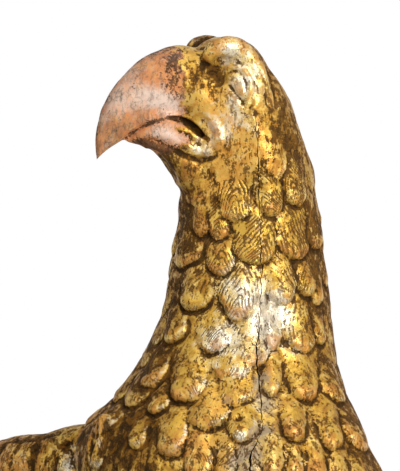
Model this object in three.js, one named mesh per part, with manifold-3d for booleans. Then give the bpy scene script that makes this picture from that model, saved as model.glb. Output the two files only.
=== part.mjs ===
// A carved and gilded wooden eagle standing on a carved rock, head turned to its right.
// Millimetres, +Z up. The flat underside of the rock lies on Z = 0, below the middle of the rock.
// The eagle faces -Y and its own left is +X. It is glued up from planks, as the real figure is:
// two planks for the head and neck, three for the trunk and three for each wing.
import * as THREE from "three";
import { mergeVertices } from "three/addons/utils/BufferGeometryUtils.js";
import Module from "manifold-3d";

const wasm = await Module();
wasm.setup();

// Driving sizes of the figure
const figureHeight = 700; // underside of the rock to the crown
const trunkRadius = 100; // widest part of the breast and back
const neckRadius = 40; // at the throat
const headTurn = 28; // degrees, towards the eagle's right
const headHeight = 90; // crown to throat
const headHalfWidth = 38; // across the cheeks
const beakReach = 88; // neck axis to the front of the beak
const upperBeakHalfWidth = 19;
const lowerBeakHalfWidth = 17;
const browRadius = 6;
const mouthGap = 1; // between the two halves of the beak
const wingReach = 255; // middle of the figure to the outermost wing tip
const wingDrop = 318; // top of the wrist to the lowest wing tip
const wingArmRadius = 23; // thickest part of the leading edge
const flightFeatherWidth = 38;
const flightFeatherThickness = 13;
const covertThickness = 25;
const featherTurn = 9; // degrees
const tailFeatherWidth = 34;
const tailFeatherThickness = 12;
const tailSpread = 62; // middle of the tail to the outermost tip
const thighRadius = 38;
const shankRadius = 10;
const legSpread = 42; // middle of the figure to each leg
const legSetback = 12; // legs behind the figure's middle plane
const toeRadius = 8;
const toeLength = 58;
const rockRadiusX = 122;
const rockRadiusY = 112;
const rockHeight = 96;
const rockSetback = 15;

// Places, as shares of the figure's height and, for the neck axis, of the trunk's radius
const neckForwardShare = 0.25; // neck axis in front of the middle of the rock
const neckJointShare = 0.636;
const wingTopShare = 0.666;
const ankleShare = 0.262;
const rodEntryShare = 0.307;
const tailScrewShare = 0.37;

// Joints, dowels, rods and screws
const glueGap = 0.3; // between glued faces
const dowelRadius = 6;
const dowelClearance = 0.3;
const neckDowelLength = 78;
const neckDowelFrontOffset = 20; // each side of the neck axis, across the glue line
const neckDowelRearOffset = 30;
const glueLineOffset = 6.5; // glue line of the head behind the neck axis
const wingDowelLength = 62;
const wingDowelPitch = 25; // between the two dowels of a wing
const beakDowelRadius = 5;
const beakDowelLength = 42;
const legRodRadius = 4;
const rodFootDepth = 62; // how far each leg rod goes down into the rock
const rodTrunkDepth = 80; // and how far up into the trunk
const screwRadius = 2.5;
const screwHeadRadius = 5;
const screwLength = 52;
const screwHeadHeight = 4;
const screwPitch = 26; // between the two tail screws
const cutOverrun = 20; // how far a cutting block reaches past what it cuts
const weldDistance = 0.0001; // points closer than this are one point

// Counts
const bodySides = 28;
const skullSides = 24;
const beakSides = 12;
const tubeSides = 7;
const roundSides = 12;
const flightCount = 5; // in each half of a wing
const innerCovertCount = 4;
const outerCovertCount = 3;

const rad = THREE.MathUtils.degToRad;
const at = (x, y, z) => new THREE.Vector3(x, y, z);
const up = (share) => share * figureHeight;

// Solid helpers: every form is a closed skin, and joins and cuts are made on solids.
function volumeOf(points, corners) {
  const corner = (i) => at(points[3 * i], points[3 * i + 1], points[3 * i + 2]);
  let volume = 0;
  for (let i = 0; i < corners.length; i += 3) {
    const [a, b, c] = [corner(corners[i]), corner(corners[i + 1]), corner(corners[i + 2])];
    volume += a.dot(b.cross(c)) / 6;
  }
  return volume;
}

function solidOf(geometry) {
  const bare = geometry.index ? geometry.toNonIndexed() : geometry.clone();
  bare.deleteAttribute("normal");
  bare.deleteAttribute("uv");
  const merged = mergeVertices(bare, weldDistance);
  const vertProperties = new Float32Array(merged.attributes.position.array);
  const triVerts = new Uint32Array(merged.index.array);
  if (volumeOf(vertProperties, triVerts) < 0) {
    for (let i = 0; i < triVerts.length; i += 3) {
      [triVerts[i + 1], triVerts[i + 2]] = [triVerts[i + 2], triVerts[i + 1]];
    }
  }
  return new wasm.Manifold(new wasm.Mesh({ numProp: 3, vertProperties, triVerts }));
}

const join = (solids) => solids.reduce((whole, next) => whole.add(next));
const cut = (solid, tools) => tools.reduce((left, tool) => left.subtract(tool), solid);

// The skin of a solid. A cut can leave a sliver beside the piece: the piece is the largest body.
function geometryOf(solid) {
  const { numVert, numProp, vertProperties, triVerts } = solid.getMesh();
  const points = new Float32Array(numVert * 3);
  for (let i = 0; i < numVert; i++) {
    points.set(vertProperties.subarray(i * numProp, i * numProp + 3), i * 3);
  }
  const bodyOf = Array.from({ length: numVert }, (_, i) => i);
  const rootOf = (i) => {
    while (bodyOf[i] !== i) i = bodyOf[i] = bodyOf[bodyOf[i]];
    return i;
  };
  for (let i = 0; i < triVerts.length; i += 3) {
    bodyOf[rootOf(triVerts[i + 1])] = rootOf(triVerts[i]);
    bodyOf[rootOf(triVerts[i + 2])] = rootOf(triVerts[i]);
  }
  const bodies = new Map();
  for (let i = 0; i < triVerts.length; i += 3) {
    const body = rootOf(triVerts[i]);
    if (!bodies.has(body)) bodies.set(body, []);
    bodies.get(body).push(triVerts[i], triVerts[i + 1], triVerts[i + 2]);
  }
  const largest = [...bodies.values()].reduce((best, next) =>
    volumeOf(points, next) > volumeOf(points, best) ? next : best,
  );
  const geometry = new THREE.BufferGeometry();
  geometry.setAttribute("position", new THREE.BufferAttribute(points, 3));
  geometry.setIndex(largest);
  const bare = geometry.toNonIndexed();
  return mergeVertices(bare, weldDistance);
}

// A closed skin through rings of points, with a fan over each end.
function loft(rings) {
  const sides = rings[0].length;
  const points = rings.flat();
  const faces = [];
  for (let r = 0; r + 1 < rings.length; r++) {
    for (let s = 0; s < sides; s++) {
      const a = r * sides + s;
      const b = r * sides + ((s + 1) % sides);
      faces.push(a, b, b + sides, a, b + sides, a + sides);
    }
  }
  const cap = (ring, turned) => {
    const middle = points.length;
    points.push(ring.reduce((sum, p) => sum.add(p), at(0, 0, 0)).divideScalar(sides));
    const first = points.indexOf(ring[0]);
    for (let s = 0; s < sides; s++) {
      const a = first + s;
      const b = first + ((s + 1) % sides);
      faces.push(...(turned ? [middle, b, a] : [middle, a, b]));
    }
  };
  cap(rings[0], true);
  cap(rings[rings.length - 1], false);
  const geometry = new THREE.BufferGeometry().setFromPoints(points);
  geometry.setIndex(faces);
  return solidOf(geometry);
}

// A tube of changing thickness along a smooth path.
function limb(path, radii, { sides = tubeSides, steps = path.length * 2, flat = 1, grow = 0 } = {}) {
  const curve = new THREE.CatmullRomCurve3(path);
  const span = path[path.length - 1].clone().sub(path[0]);
  const reference = [at(1, 0, 0), at(0, 1, 0), at(0, 0, 1)].reduce((best, axis) =>
    Math.abs(axis.dot(span)) < Math.abs(best.dot(span)) ? axis : best,
  );
  const rings = [];
  for (let i = 0; i <= steps; i++) {
    const t = i / steps;
    const along = curve.getTangent(t);
    const across = at(0, 0, 0).crossVectors(along, reference).normalize();
    const beside = at(0, 0, 0).crossVectors(across, along).normalize();
    const place = t * (radii.length - 1);
    const low = Math.min(Math.floor(place), radii.length - 2);
    const radius = THREE.MathUtils.lerp(radii[low], radii[low + 1], place - low) + grow;
    const centre = curve.getPoint(t);
    rings.push(
      Array.from({ length: sides }, (_, s) => {
        const angle = (s / sides) * 2 * Math.PI;
        return centre
          .clone()
          .addScaledVector(across, Math.cos(angle) * radius * flat)
          .addScaledVector(beside, Math.sin(angle) * radius);
      }),
    );
  }
  return loft(rings);
}

function ball(centre, rx, ry, rz) {
  const geometry = new THREE.SphereGeometry(1, 12, 6);
  geometry.scale(rx, ry, rz);
  geometry.translate(centre.x, centre.y, centre.z);
  return solidOf(geometry);
}

// A round rod from one point to another.
function rod(from, to, radius) {
  const along = to.clone().sub(from);
  const geometry = new THREE.CylinderGeometry(radius, radius, along.length(), roundSides);
  const turn = new THREE.Quaternion().setFromUnitVectors(at(0, 1, 0), along.clone().normalize());
  geometry.applyQuaternion(turn);
  const middle = from.clone().add(to).divideScalar(2);
  geometry.translate(middle.x, middle.y, middle.z);
  return solidOf(geometry);
}

// A block that covers everything on one side of a plane, to cut away what lies there.
const blockSize = 2 * (figureHeight + cutOverrun);
function halfSpace(point, normal) {
  const geometry = new THREE.BoxGeometry(blockSize, blockSize, blockSize);
  geometry.translate(0, 0, blockSize / 2);
  const turn = new THREE.Quaternion().setFromUnitVectors(at(0, 0, 1), normal.clone().normalize());
  geometry.applyQuaternion(turn);
  geometry.translate(point.x, point.y, point.z);
  return solidOf(geometry);
}

// Splits a solid at a plane and leaves the glue gap: [behind the normal, in front of it].
function split(solid, point, normal) {
  const half = normal.clone().normalize().multiplyScalar(glueGap / 2);
  const behind = solid.subtract(halfSpace(point.clone().sub(half), normal));
  const ahead = solid.subtract(halfSpace(point.clone().add(half), normal.clone().negate()));
  return [behind, ahead];
}

// Trunk and neck: level rings, each with eight radii, counted from the front (-Y) towards +X.
// Rows: height share of figureHeight, setback share of trunkRadius, radius shares.
const trunkShares = [
  [0.279, 0.48, [0.3, 0.28, 0.26, 0.32, 0.36, 0.32, 0.26, 0.28]],
  [0.307, 0.38, [0.6, 0.53, 0.5, 0.53, 0.58, 0.53, 0.5, 0.53]],
  [0.357, 0.24, [0.82, 0.71, 0.66, 0.68, 0.68, 0.68, 0.66, 0.71]],
  [0.429, 0.08, [0.94, 0.86, 0.82, 0.8, 0.76, 0.8, 0.82, 0.86]],
  [0.5, -0.05, [0.98, 0.95, 0.93, 0.86, 0.8, 0.86, 0.93, 0.95]],
  [0.571, -0.15, [0.95, 0.94, 0.96, 0.84, 0.8, 0.84, 0.96, 0.94]],
  [0.636, -0.22, [0.89, 0.9, 0.92, 0.75, 0.7, 0.77, 0.92, 0.91]],
  [0.657, -0.24, [0.86, 0.89, 0.88, 0.7, 0.66, 0.72, 0.9, 0.97]],
  [0.689, -0.25, [0.79, 0.81, 0.78, 0.62, 0.61, 0.66, 0.82, 0.92]],
  [0.713, -0.25, [0.7, 0.68, 0.66, 0.56, 0.56, 0.58, 0.7, 0.75]],
  [0.733, -0.25, [0.62, 0.58, 0.57, 0.52, 0.52, 0.53, 0.6, 0.65]],
  [0.753, -0.25, [0.55, 0.52, 0.51, 0.49, 0.49, 0.49, 0.53, 0.57]],
];
// Rows: height share from the top of the trunk to the underside of the head, radius shares.
const neckShares = [
  [0.16, [1.22, 1.18, 1.18, 1.19, 1.18, 1.15, 1.2, 1.28]],
  [0.33, [1.13, 1.1, 1.1, 1.15, 1.15, 1.1, 1.1, 1.15]],
  [0.49, [1.1, 1.07, 1.07, 1.11, 1.1, 1.07, 1.07, 1.12]],
  [0.66, [1.04, 1.02, 1.02, 1.07, 1.06, 1.02, 1.02, 1.05]],
  [0.83, [0.98, 0.97, 0.97, 1.04, 1.03, 0.97, 0.97, 0.98]],
  [0.985, [0.99, 0.96, 0.96, 0.99, 0.99, 0.96, 0.96, 0.99]],
  [1.115, [0.9, 0.84, 0.84, 0.9, 0.9, 0.84, 0.84, 0.9]],
];
const neckTrunkJointHeight = up(neckJointShare);
const neckAxis = at(0, -neckForwardShare * trunkRadius, 0);
const trunkTopHeight = up(trunkShares[trunkShares.length - 1][0]);
const headBottomHeight = figureHeight - headHeight;

function levelRing(centreY, height, radii) {
  const corners = radii.map((radius, i) => {
    const angle = (i / radii.length) * 2 * Math.PI - Math.PI / 2;
    return at(radius * Math.cos(angle), centreY + radius * Math.sin(angle), height);
  });
  const curve = new THREE.CatmullRomCurve3(corners, true);
  return Array.from({ length: bodySides }, (_, s) => curve.getPoint(s / bodySides));
}

function trunkAndNeck(grow = 0) {
  const trunkRings = trunkShares.map(([height, setback, shares]) =>
    levelRing(
      setback * trunkRadius,
      up(height),
      shares.map((share) => share * trunkRadius + grow),
    ),
  );
  const neckRings = neckShares.map(([height, shares]) =>
    levelRing(
      neckAxis.y,
      THREE.MathUtils.lerp(trunkTopHeight, headBottomHeight, height),
      shares.map((share) => share * neckRadius + grow),
    ),
  );
  return loft([...trunkRings, ...neckRings]);
}

// Head: built facing -Y on the neck axis, then turned. headPoint takes the distance in front of
// the neck axis, to the eagle's left, and below the crown.
const crownHeight = figureHeight;
function headPoint(forward, left, drop) {
  const angle = rad(-headTurn);
  const [x, y] = [left, -forward];
  return at(
    neckAxis.x + x * Math.cos(angle) - y * Math.sin(angle),
    neckAxis.y + x * Math.sin(angle) + y * Math.cos(angle),
    crownHeight - drop,
  );
}
const headForwardDirection = headPoint(1, 0, 0).sub(headPoint(0, 0, 0));

// Rows: drop share of headHeight; centre, half length and half width shares of headHalfWidth.
const skullShares = [
  [1.0, 0.01, 0.99, 0.97],
  [0.83, 0.04, 0.985, 0.98],
  [0.7, 0.1, 0.94, 0.96],
  [0.6, 0.14, 0.9, 0.95],
  [0.5, 0.18, 0.85, 0.93],
  [0.4, 0.21, 0.79, 0.9],
  [0.28, 0.27, 0.68, 0.83],
  [0.2, 0.32, 0.585, 0.76],
  [0.13, 0.34, 0.51, 0.69],
  [0.07, 0.35, 0.4, 0.56],
  [0.03, 0.36, 0.25, 0.36],
  [0.012, 0.37, 0.11, 0.16],
];
const faceTaperShare = 0.35; // how much the skull narrows from the cheeks to the beak

function skull(grow = 0) {
  return loft(
    skullShares.map(([drop, centre, length, width]) =>
      Array.from({ length: skullSides }, (_, s) => {
        const angle = (s / skullSides) * 2 * Math.PI;
        const forward = Math.cos(angle);
        const taper = 1 - faceTaperShare * Math.max(0, forward);
        return headPoint(
          centre * headHalfWidth + (length * headHalfWidth + grow) * forward,
          (width * headHalfWidth + grow) * Math.sin(angle) * taper,
          drop * headHeight - grow,
        );
      }),
    ),
  );
}

// Brow ridge over each eye: forward and sideways shares of headHalfWidth, drop share of headHeight.
const browShares = [
  [0.76, 0.45, 0.16],
  [0.66, 0.48, 0.095],
  [0.5, 0.52, 0.065],
  [0.32, 0.56, 0.08],
  [0.16, 0.64, 0.15],
  [0.06, 0.72, 0.24],
  [0.03, 0.78, 0.34],
];
const browThicknessShares = [0.6, 1, 1.08, 1, 0.9, 0.8, 0.6];
const socketShares = { forward: 0.65, left: 0.7, drop: 0.255, length: 0.25, depth: 0.2, height: 0.21 };
const eyeShares = { forward: 0.37, left: 0.7, drop: 0.3, radius: 0.19 };

function brow(side) {
  const path = browShares.map(([forward, left, drop]) =>
    headPoint(forward * headHalfWidth, side * left * headHalfWidth, drop * headHeight),
  );
  return limb(
    path,
    browThicknessShares.map((share) => share * browRadius),
    { steps: 8 },
  );
}

function besideHead(shares, side) {
  return headPoint(
    shares.forward * headHalfWidth,
    side * shares.left * headHalfWidth,
    shares.drop * headHeight,
  );
}

function head(grow = 0) {
  const sockets = [1, -1].map((side) =>
    ball(
      besideHead(socketShares, side),
      socketShares.depth * headHalfWidth,
      socketShares.length * headHalfWidth,
      socketShares.height * headHalfWidth,
    ),
  );
  const eyeRadius = eyeShares.radius * headHalfWidth;
  const eyes = [1, -1].map((side) =>
    ball(besideHead(eyeShares, side), eyeRadius, eyeRadius, eyeRadius),
  );
  const carved = grow > 0 ? skull(grow) : cut(skull(), sockets);
  return join([carved, brow(1), brow(-1), ...eyes]);
}

// Beak halves. Rows: top point and bottom point, each as forward share of beakReach and drop
// share of headHeight, then the half width share.
const upperBeakShares = [
  [0.23, 0.11, 0.23, 0.58, 0.95],
  [0.386, 0.072, 0.341, 0.6, 1.0],
  [0.493, 0.059, 0.5, 0.5, 0.92],
  [0.658, 0.101, 0.614, 0.506, 0.82],
  [0.759, 0.166, 0.688, 0.533, 0.71],
  [0.85, 0.251, 0.756, 0.583, 0.6],
  [0.915, 0.338, 0.801, 0.619, 0.5],
  [0.961, 0.44, 0.847, 0.65, 0.39],
  [0.993, 0.577, 0.903, 0.686, 0.26],
  [0.998, 0.663, 0.945, 0.719, 0.16],
  [0.988, 0.744, 0.977, 0.757, 0.05],
];
const lowerBeakShares = [
  [0.273, 0.61, 0.273, 0.978, 1.0],
  [0.364, 0.585, 0.409, 0.956, 1.0],
  [0.455, 0.552, 0.5, 0.86, 0.95],
  [0.523, 0.53, 0.545, 0.783, 0.86],
  [0.591, 0.522, 0.602, 0.728, 0.76],
  [0.67, 0.55, 0.67, 0.678, 0.6],
  [0.744, 0.6, 0.733, 0.652, 0.42],
  [0.795, 0.634, 0.793, 0.645, 0.12],
];

function beak(rows, halfWidth, grow = 0) {
  return loft(
    rows.map(([topForward, topDrop, bottomForward, bottomDrop, width]) =>
      Array.from({ length: beakSides }, (_, s) => {
        const angle = (s / beakSides) * 2 * Math.PI;
        const rise = (1 + Math.cos(angle)) / 2;
        return headPoint(
          THREE.MathUtils.lerp(bottomForward, topForward, rise) * beakReach,
          (width * halfWidth + grow) * Math.sin(angle),
          THREE.MathUtils.lerp(bottomDrop, topDrop, rise) * headHeight - grow * Math.cos(angle),
        );
      }),
    ),
  );
}

// The glue line of the head and neck stands upright and crosses the eagle's left front.
const glueLineTurn = 45; // degrees, from the -Y axis
const glueNormal = at(Math.sin(rad(glueLineTurn)), Math.cos(rad(glueLineTurn)), 0);
const gluePoint = neckAxis.clone().addScaledVector(glueNormal, glueLineOffset);

// The trunk's planks meet at two upright planes that face front.
const breastJointY = -0.5 * trunkRadius;
const backJointY = 0.2 * trunkRadius;

// Neck dowels, upright across the joint of neck and trunk, one in each head plank.
const neckDowelOffsets = {
  head_dowel_front: -neckDowelFrontOffset,
  head_dowel_rear: neckDowelRearOffset,
};
const neckDowelPlace = (offset) => neckAxis.clone().addScaledVector(glueNormal, offset);

function uprightRod(place, middle, length, radius) {
  const half = at(0, 0, length / 2);
  const centre = at(place.x, place.y, middle);
  return rod(centre.clone().sub(half), centre.clone().add(half), radius);
}

const neckDowels = Object.entries(neckDowelOffsets).map(([name, offset]) => ({
  name,
  solid: uprightRod(neckDowelPlace(offset), neckTrunkJointHeight, neckDowelLength, dowelRadius),
  hole: uprightRod(
    neckDowelPlace(offset),
    neckTrunkJointHeight,
    neckDowelLength + 2 * dowelClearance,
    dowelRadius + dowelClearance,
  ),
}));

// The beak's dowel lies level, from the face plank into the beak.
const beakDowelDropShare = 0.27;
const beakDowelStart = 0.2 * beakReach;
function beakDowel(clearance) {
  const drop = beakDowelDropShare * headHeight;
  return rod(
    headPoint(beakDowelStart - clearance, 0, drop),
    headPoint(beakDowelStart + beakDowelLength + clearance, 0, drop),
    beakDowelRadius + clearance,
  );
}

// Wing: leading edge from the shoulder over the wrist to the hand.
// Rows: outward and setback shares of wingReach, drop share of wingDrop, thickness share.
const wingTop = up(wingTopShare);
const armShares = [
  [0.235, 0.059, 0.125, 1.04],
  [0.424, 0.02, 0.11, 0.96],
  [0.56, -0.024, 0.046, 0.96],
  [0.675, -0.055, 0.067, 0.96],
  [0.784, -0.055, 0.076, 0.91],
  [0.886, -0.024, 0.122, 0.75],
  [0.953, 0.039, 0.35, 0.5],
  [0.973, 0.094, 0.6, 0.26],
];
const wingPoint = (side, out, back, drop) =>
  at(side * out * wingReach, back * wingReach, wingTop - drop * wingDrop);

// The wing's hang: how far back the sheet of feathers lies at a drop and a distance outwards.
const sheetTopShare = -0.02;
const sheetBottomShare = 0.15;
const sheetWristShare = -0.05;
function sheetSetback(out, drop) {
  const sweep = THREE.MathUtils.lerp(sheetTopShare, sheetBottomShare, drop ** 0.8);
  return sweep + sheetWristShare * Math.sin(Math.min(1, out) * Math.PI) * (1 - drop);
}

// Rows: share of the feather's length, share of its width.
const featherWidthShares = [
  [0, 0.9],
  [0.4, 1],
  [0.82, 1],
  [0.94, 0.76],
  [1, 0.24],
];
const featherSides = 4;

// One feather: a flat, rounded blade through a list of points, widening across "beside".
function feather(points, beside, width, thickness) {
  const curve = new THREE.CatmullRomCurve3(points);
  return loft(
    featherWidthShares.map(([along, share]) => {
      const centre = curve.getPointAt(along);
      const through = at(0, 0, 0).crossVectors(curve.getTangentAt(along), beside).normalize();
      return Array.from({ length: featherSides }, (_, s) => {
        const angle = (s / featherSides) * 2 * Math.PI;
        return centre
          .clone()
          .addScaledVector(beside, (Math.cos(angle) * width * share) / 2)
          .addScaledVector(through, (Math.sin(angle) * thickness * (0.5 + share / 2)) / 2);
      });
    }),
  );
}

// Rows of feathers: how many, and [out, drop] at root and tip of the first and the last one.
const flight = { width: flightFeatherWidth, thickness: flightFeatherThickness };
const covert = { width: flightFeatherWidth, thickness: covertThickness };
const featherRows = [
  {
    ...flight,
    feathers: flightCount,
    rootShares: [0.43, 0.16, 0.66, 0.1],
    tipShares: [0.435, 0.62, 0.64, 0.82],
  },
  {
    ...flight,
    feathers: flightCount,
    rootShares: [0.72, 0.09, 0.925, 0.24],
    tipShares: [0.69, 0.87, 0.93, 1],
  },
  {
    ...covert,
    feathers: innerCovertCount,
    rootShares: [0.44, 0.14, 0.68, 0.08],
    tipShares: [0.44, 0.37, 0.67, 0.45],
  },
  {
    ...covert,
    feathers: outerCovertCount,
    rootShares: [0.76, 0.09, 0.9, 0.2],
    tipShares: [0.745, 0.52, 0.92, 0.66],
  },
];

// Each feather is turned a little, so that one edge lies over the feather beside it.
const featherAcross = (side) => at(Math.cos(rad(featherTurn)), side * Math.sin(rad(featherTurn)), 0);

function wing(side) {
  const arm = limb(
    armShares.map(([out, back, drop]) => wingPoint(side, out, back, drop)),
    armShares.map((row) => row[3] * wingArmRadius),
    { steps: 11, sides: 9 },
  );
  const shoulder = ball(
    wingPoint(side, 0.38, 0.02, 0.2),
    0.18 * wingReach,
    0.13 * wingReach,
    0.19 * wingDrop,
  );
  const blades = featherRows.flatMap(({ width, thickness, feathers, rootShares, tipShares }) =>
    Array.from({ length: feathers }, (_, i) => {
      const mix = (shares, k) => THREE.MathUtils.lerp(shares[k], shares[k + 2], i / (feathers - 1));
      const points = [0, 1 / 3, 2 / 3, 1].map((t) => {
        const out = THREE.MathUtils.lerp(mix(rootShares, 0), mix(tipShares, 0), t);
        const drop = THREE.MathUtils.lerp(mix(rootShares, 1), mix(tipShares, 1), t);
        return wingPoint(side, out, sheetSetback(out, drop), drop);
      });
      return feather(points, featherAcross(side), width, thickness);
    }),
  );
  return join([arm, shoulder, ...blades]);
}

// Where the wing's planks meet: level under the wrist, then slanting between the feathers.
const wingPlankDropShare = 0.27;
const wingBoardSplit = { topShares: [0.7, 0.27], bottomShares: [0.675, 1] };

function wingPlanks(side) {
  const whole = cut(wing(side), [trunkAndNeck(glueGap)]);
  const level = wingPoint(side, 0, 0, wingPlankDropShare);
  const [feathers, shoulder] = split(whole, level, at(0, 0, 1));
  const [top, bottom] = [wingBoardSplit.topShares, wingBoardSplit.bottomShares].map(([out, drop]) =>
    wingPoint(side, out, 0, drop),
  );
  const along = bottom.clone().sub(top);
  const across = at(-along.z * side, 0, along.x * side);
  const [inner, outer] = split(feathers, top, across);
  return { shoulder, inner, outer };
}

const wingDowelDropShare = 0.105;
const wingDowelSetback = 0;
const wingDowelInner = 0.235 * wingReach;
function wingDowel(side, index, clearance) {
  const height = wingTop - wingDowelDropShare * wingDrop - index * wingDowelPitch;
  return rod(
    at(side * (wingDowelInner - clearance), wingDowelSetback, height),
    at(side * (wingDowelInner + wingDowelLength + clearance), wingDowelSetback, height),
    dowelRadius + clearance,
  );
}

// Tail: a fan of feathers from a root block on the rump.
// Rows: setback share of trunkRadius, height share of figureHeight.
const tailPathShares = [
  [0.84, 0.4],
  [1.12, 0.29],
  [1.4, 0.18],
  [1.58, 0.095],
];
const tailFeatherCount = 7;
// Rump over the tail's root. Rows: setback and half width shares of trunkRadius, height share.
const rumpShares = [
  [0.72, 0.47, 0.12],
  [0.84, 0.42, 0.26],
  [0.96, 0.365, 0.34],
  [1.1, 0.3, 0.36],
  [1.24, 0.245, 0.2],
];
const rumpFlatShare = 0.5;
const tailRootSpreadShare = 0.35;

function tail() {
  const feathers = Array.from({ length: tailFeatherCount }, (_, i) => {
    const across = (2 * i) / (tailFeatherCount - 1) - 1;
    const points = tailPathShares.map(([back, height], k) => {
      const opening = THREE.MathUtils.lerp(tailRootSpreadShare, 1, k / (tailPathShares.length - 1));
      const lift = 0.025 * across ** 2;
      return at(
        across * opening * tailSpread,
        back * trunkRadius,
        up(height + (k === tailPathShares.length - 1 ? lift : 0)),
      );
    });
    return feather(points, at(1, 0, 0), tailFeatherWidth, tailFeatherThickness);
  });
  const rump = limb(
    rumpShares.map(([back, height]) => at(0, back * trunkRadius, up(height))),
    rumpShares.map((row) => row[2] * trunkRadius),
    { sides: 10, steps: 6, flat: rumpFlatShare },
  );
  return join([rump, ...feathers]);
}

// The tail's screws go in level from behind.
const tailScrewHeight = up(tailScrewShare);
const tailScrewHeadY = 1.08 * trunkRadius;
function tailScrew(side, clearance) {
  const x = (side * screwPitch) / 2;
  const head = at(x, tailScrewHeadY, tailScrewHeight);
  const shaft = rod(
    head.clone(),
    at(x, tailScrewHeadY - screwLength - clearance, tailScrewHeight),
    screwRadius + clearance,
  );
  const cap = rod(
    at(x, tailScrewHeadY - screwHeadHeight - clearance, tailScrewHeight),
    clearance > 0 ? at(x, tailScrewHeadY + cutOverrun, tailScrewHeight) : head,
    screwHeadRadius + clearance,
  );
  return shaft.add(cap);
}

// Legs: thighs, then shank and foot in one, on an iron rod that runs from rock to trunk.
const legPlace = (side) => at(side * legSpread, legSetback, 0);
// Rows: outward and setback offsets as shares of thighRadius, height share, thickness share.
const thighShares = [
  [0, 0, 0.236, 0.4],
  [0.04, -0.05, 0.27, 0.62],
  [0.12, -0.15, 0.32, 0.87],
  [0.2, -0.28, 0.375, 1.0],
  [0.22, -0.38, 0.43, 0.98],
  [0.16, -0.45, 0.47, 0.7],
];

function thigh(side, grow = 0) {
  const path = thighShares.map(([out, back, height]) =>
    at(side * (legSpread + out * thighRadius), legSetback + back * thighRadius, up(height)),
  );
  const radii = thighShares.map((row) => row[3] * thighRadius);
  return limb(path, radii, { sides: 14, steps: 8, grow });
}

// Toes: direction in degrees from straight ahead (outwards positive) and length share.
const toes = [
  { turn: -16, reach: 0.94 },
  { turn: 8, reach: 1.08 },
  { turn: 34, reach: 0.92 },
  { turn: 176, reach: 0.66 },
];
// Rows along a toe: reach share of toeLength, lift share of toeRadius, thickness share.
const toeShares = [
  [0.0, 1.5, 1.15],
  [0.3, 1.15, 1.0],
  [0.6, 1.1, 0.95],
  [0.84, 1.35, 0.62],
  [1.02, 1.0, 0.4],
  [1.1, 0.35, 0.14],
];

function foot(side) {
  const ankle = up(ankleShare);
  const place = legPlace(side);
  const shank = limb(
    [at(place.x, place.y, rockHeight + toeRadius), at(place.x, place.y, ankle)],
    [shankRadius * 1.15, shankRadius, shankRadius, shankRadius * 1.1],
    { sides: 8, steps: 3 },
  );
  const digits = toes.map(({ turn, reach }) => {
    const direction = at(side * Math.sin(rad(turn)), -Math.cos(rad(turn)), 0);
    const path = toeShares.map(([along, lift]) =>
      at(place.x, place.y, rockHeight + lift * toeRadius).addScaledVector(
        direction,
        along * reach * toeLength,
      ),
    );
    return limb(
      path,
      toeShares.map((row) => row[2] * toeRadius),
      { steps: 6, sides: 6 },
    );
  });
  const knuckle = ball(
    at(place.x, place.y, rockHeight + toeRadius * 1.2),
    toeRadius * 1.7,
    toeRadius * 1.9,
    toeRadius * 1.25,
  );
  return join([shank, knuckle, ...digits]);
}

const rodBottom = rockHeight - rodFootDepth;
const rodTop = up(rodEntryShare) + rodTrunkDepth;
function legRod(side, clearance) {
  const place = legPlace(side);
  return rod(
    at(place.x, place.y, rodBottom - clearance),
    at(place.x, place.y, rodTop + clearance),
    legRodRadius + clearance,
  );
}

// Rock: level rings whose radius swells and shrinks in ledges. The top and underside are flat.
// Rows: height share of rockHeight, radius share, ledge share, turn of the ledges in degrees.
const rockShares = [
  [0, 0.97, 0.05, 0],
  [0.16, 1.0, 0.07, 4],
  [0.34, 0.97, 0.08, 22],
  [0.42, 0.93, 0.08, 30],
  [0.66, 0.9, 0.07, 58],
  [0.74, 0.86, 0.07, 66],
  [0.95, 0.82, 0.05, 90],
  [1, 0.76, 0.05, 96],
];
const rockSides = 26;

function rock(grow = 0) {
  return loft(
    rockShares.map(([height, radius, ledge, turn]) =>
      Array.from({ length: rockSides }, (_, s) => {
        const angle = (s / rockSides) * 2 * Math.PI;
        const swell = Math.sin(3 * angle + rad(turn)) + 0.7 * Math.sin(7 * angle - rad(2 * turn));
        const share = radius + ledge * swell * 0.6;
        return at(
          Math.cos(angle) * (share * rockRadiusX + grow),
          rockSetback + Math.sin(angle) * (share * rockRadiusY + grow),
          height * rockHeight + (height === 1 ? grow : 0),
        );
      }),
    ),
  );
}

// Finishes, one material for each kind of surface
const finishes = {
  gilt: { color: 0xb8862f, roughness: 0.42, metalness: 0.55 },
  giltDark: { color: 0x8a6a2c, roughness: 0.5, metalness: 0.45 },
  beak: { color: 0xa8705a, roughness: 0.4, metalness: 0.2 },
  dowel: { color: 0xb89468, roughness: 0.8, metalness: 0 },
  iron: { color: 0x3c3a38, roughness: 0.6, metalness: 0.8 },
};
const materials = Object.fromEntries(
  Object.entries(finishes).map(([name, look]) => [name, new THREE.MeshStandardMaterial(look)]),
);

const figure = new THREE.Group();
function place(name, solid, finish) {
  const mesh = new THREE.Mesh(geometryOf(solid), materials[finish]);
  mesh.name = name;
  figure.add(mesh);
}

// Head and neck: two planks, the beak in two pieces, and the dowels that hold them.
const wholeBody = trunkAndNeck();
const [trunk, neck] = split(wholeBody, at(0, 0, neckTrunkJointHeight), at(0, 0, 1));
const headHoles = [...neckDowels.map((dowel) => dowel.hole), beakDowel(dowelClearance)];
const [facePlank, napePlank] = split(cut(neck.add(head()), headHoles), gluePoint, glueNormal);
place("head_face_plank", facePlank, "gilt");
place("head_nape_plank", napePlank, "gilt");

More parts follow.
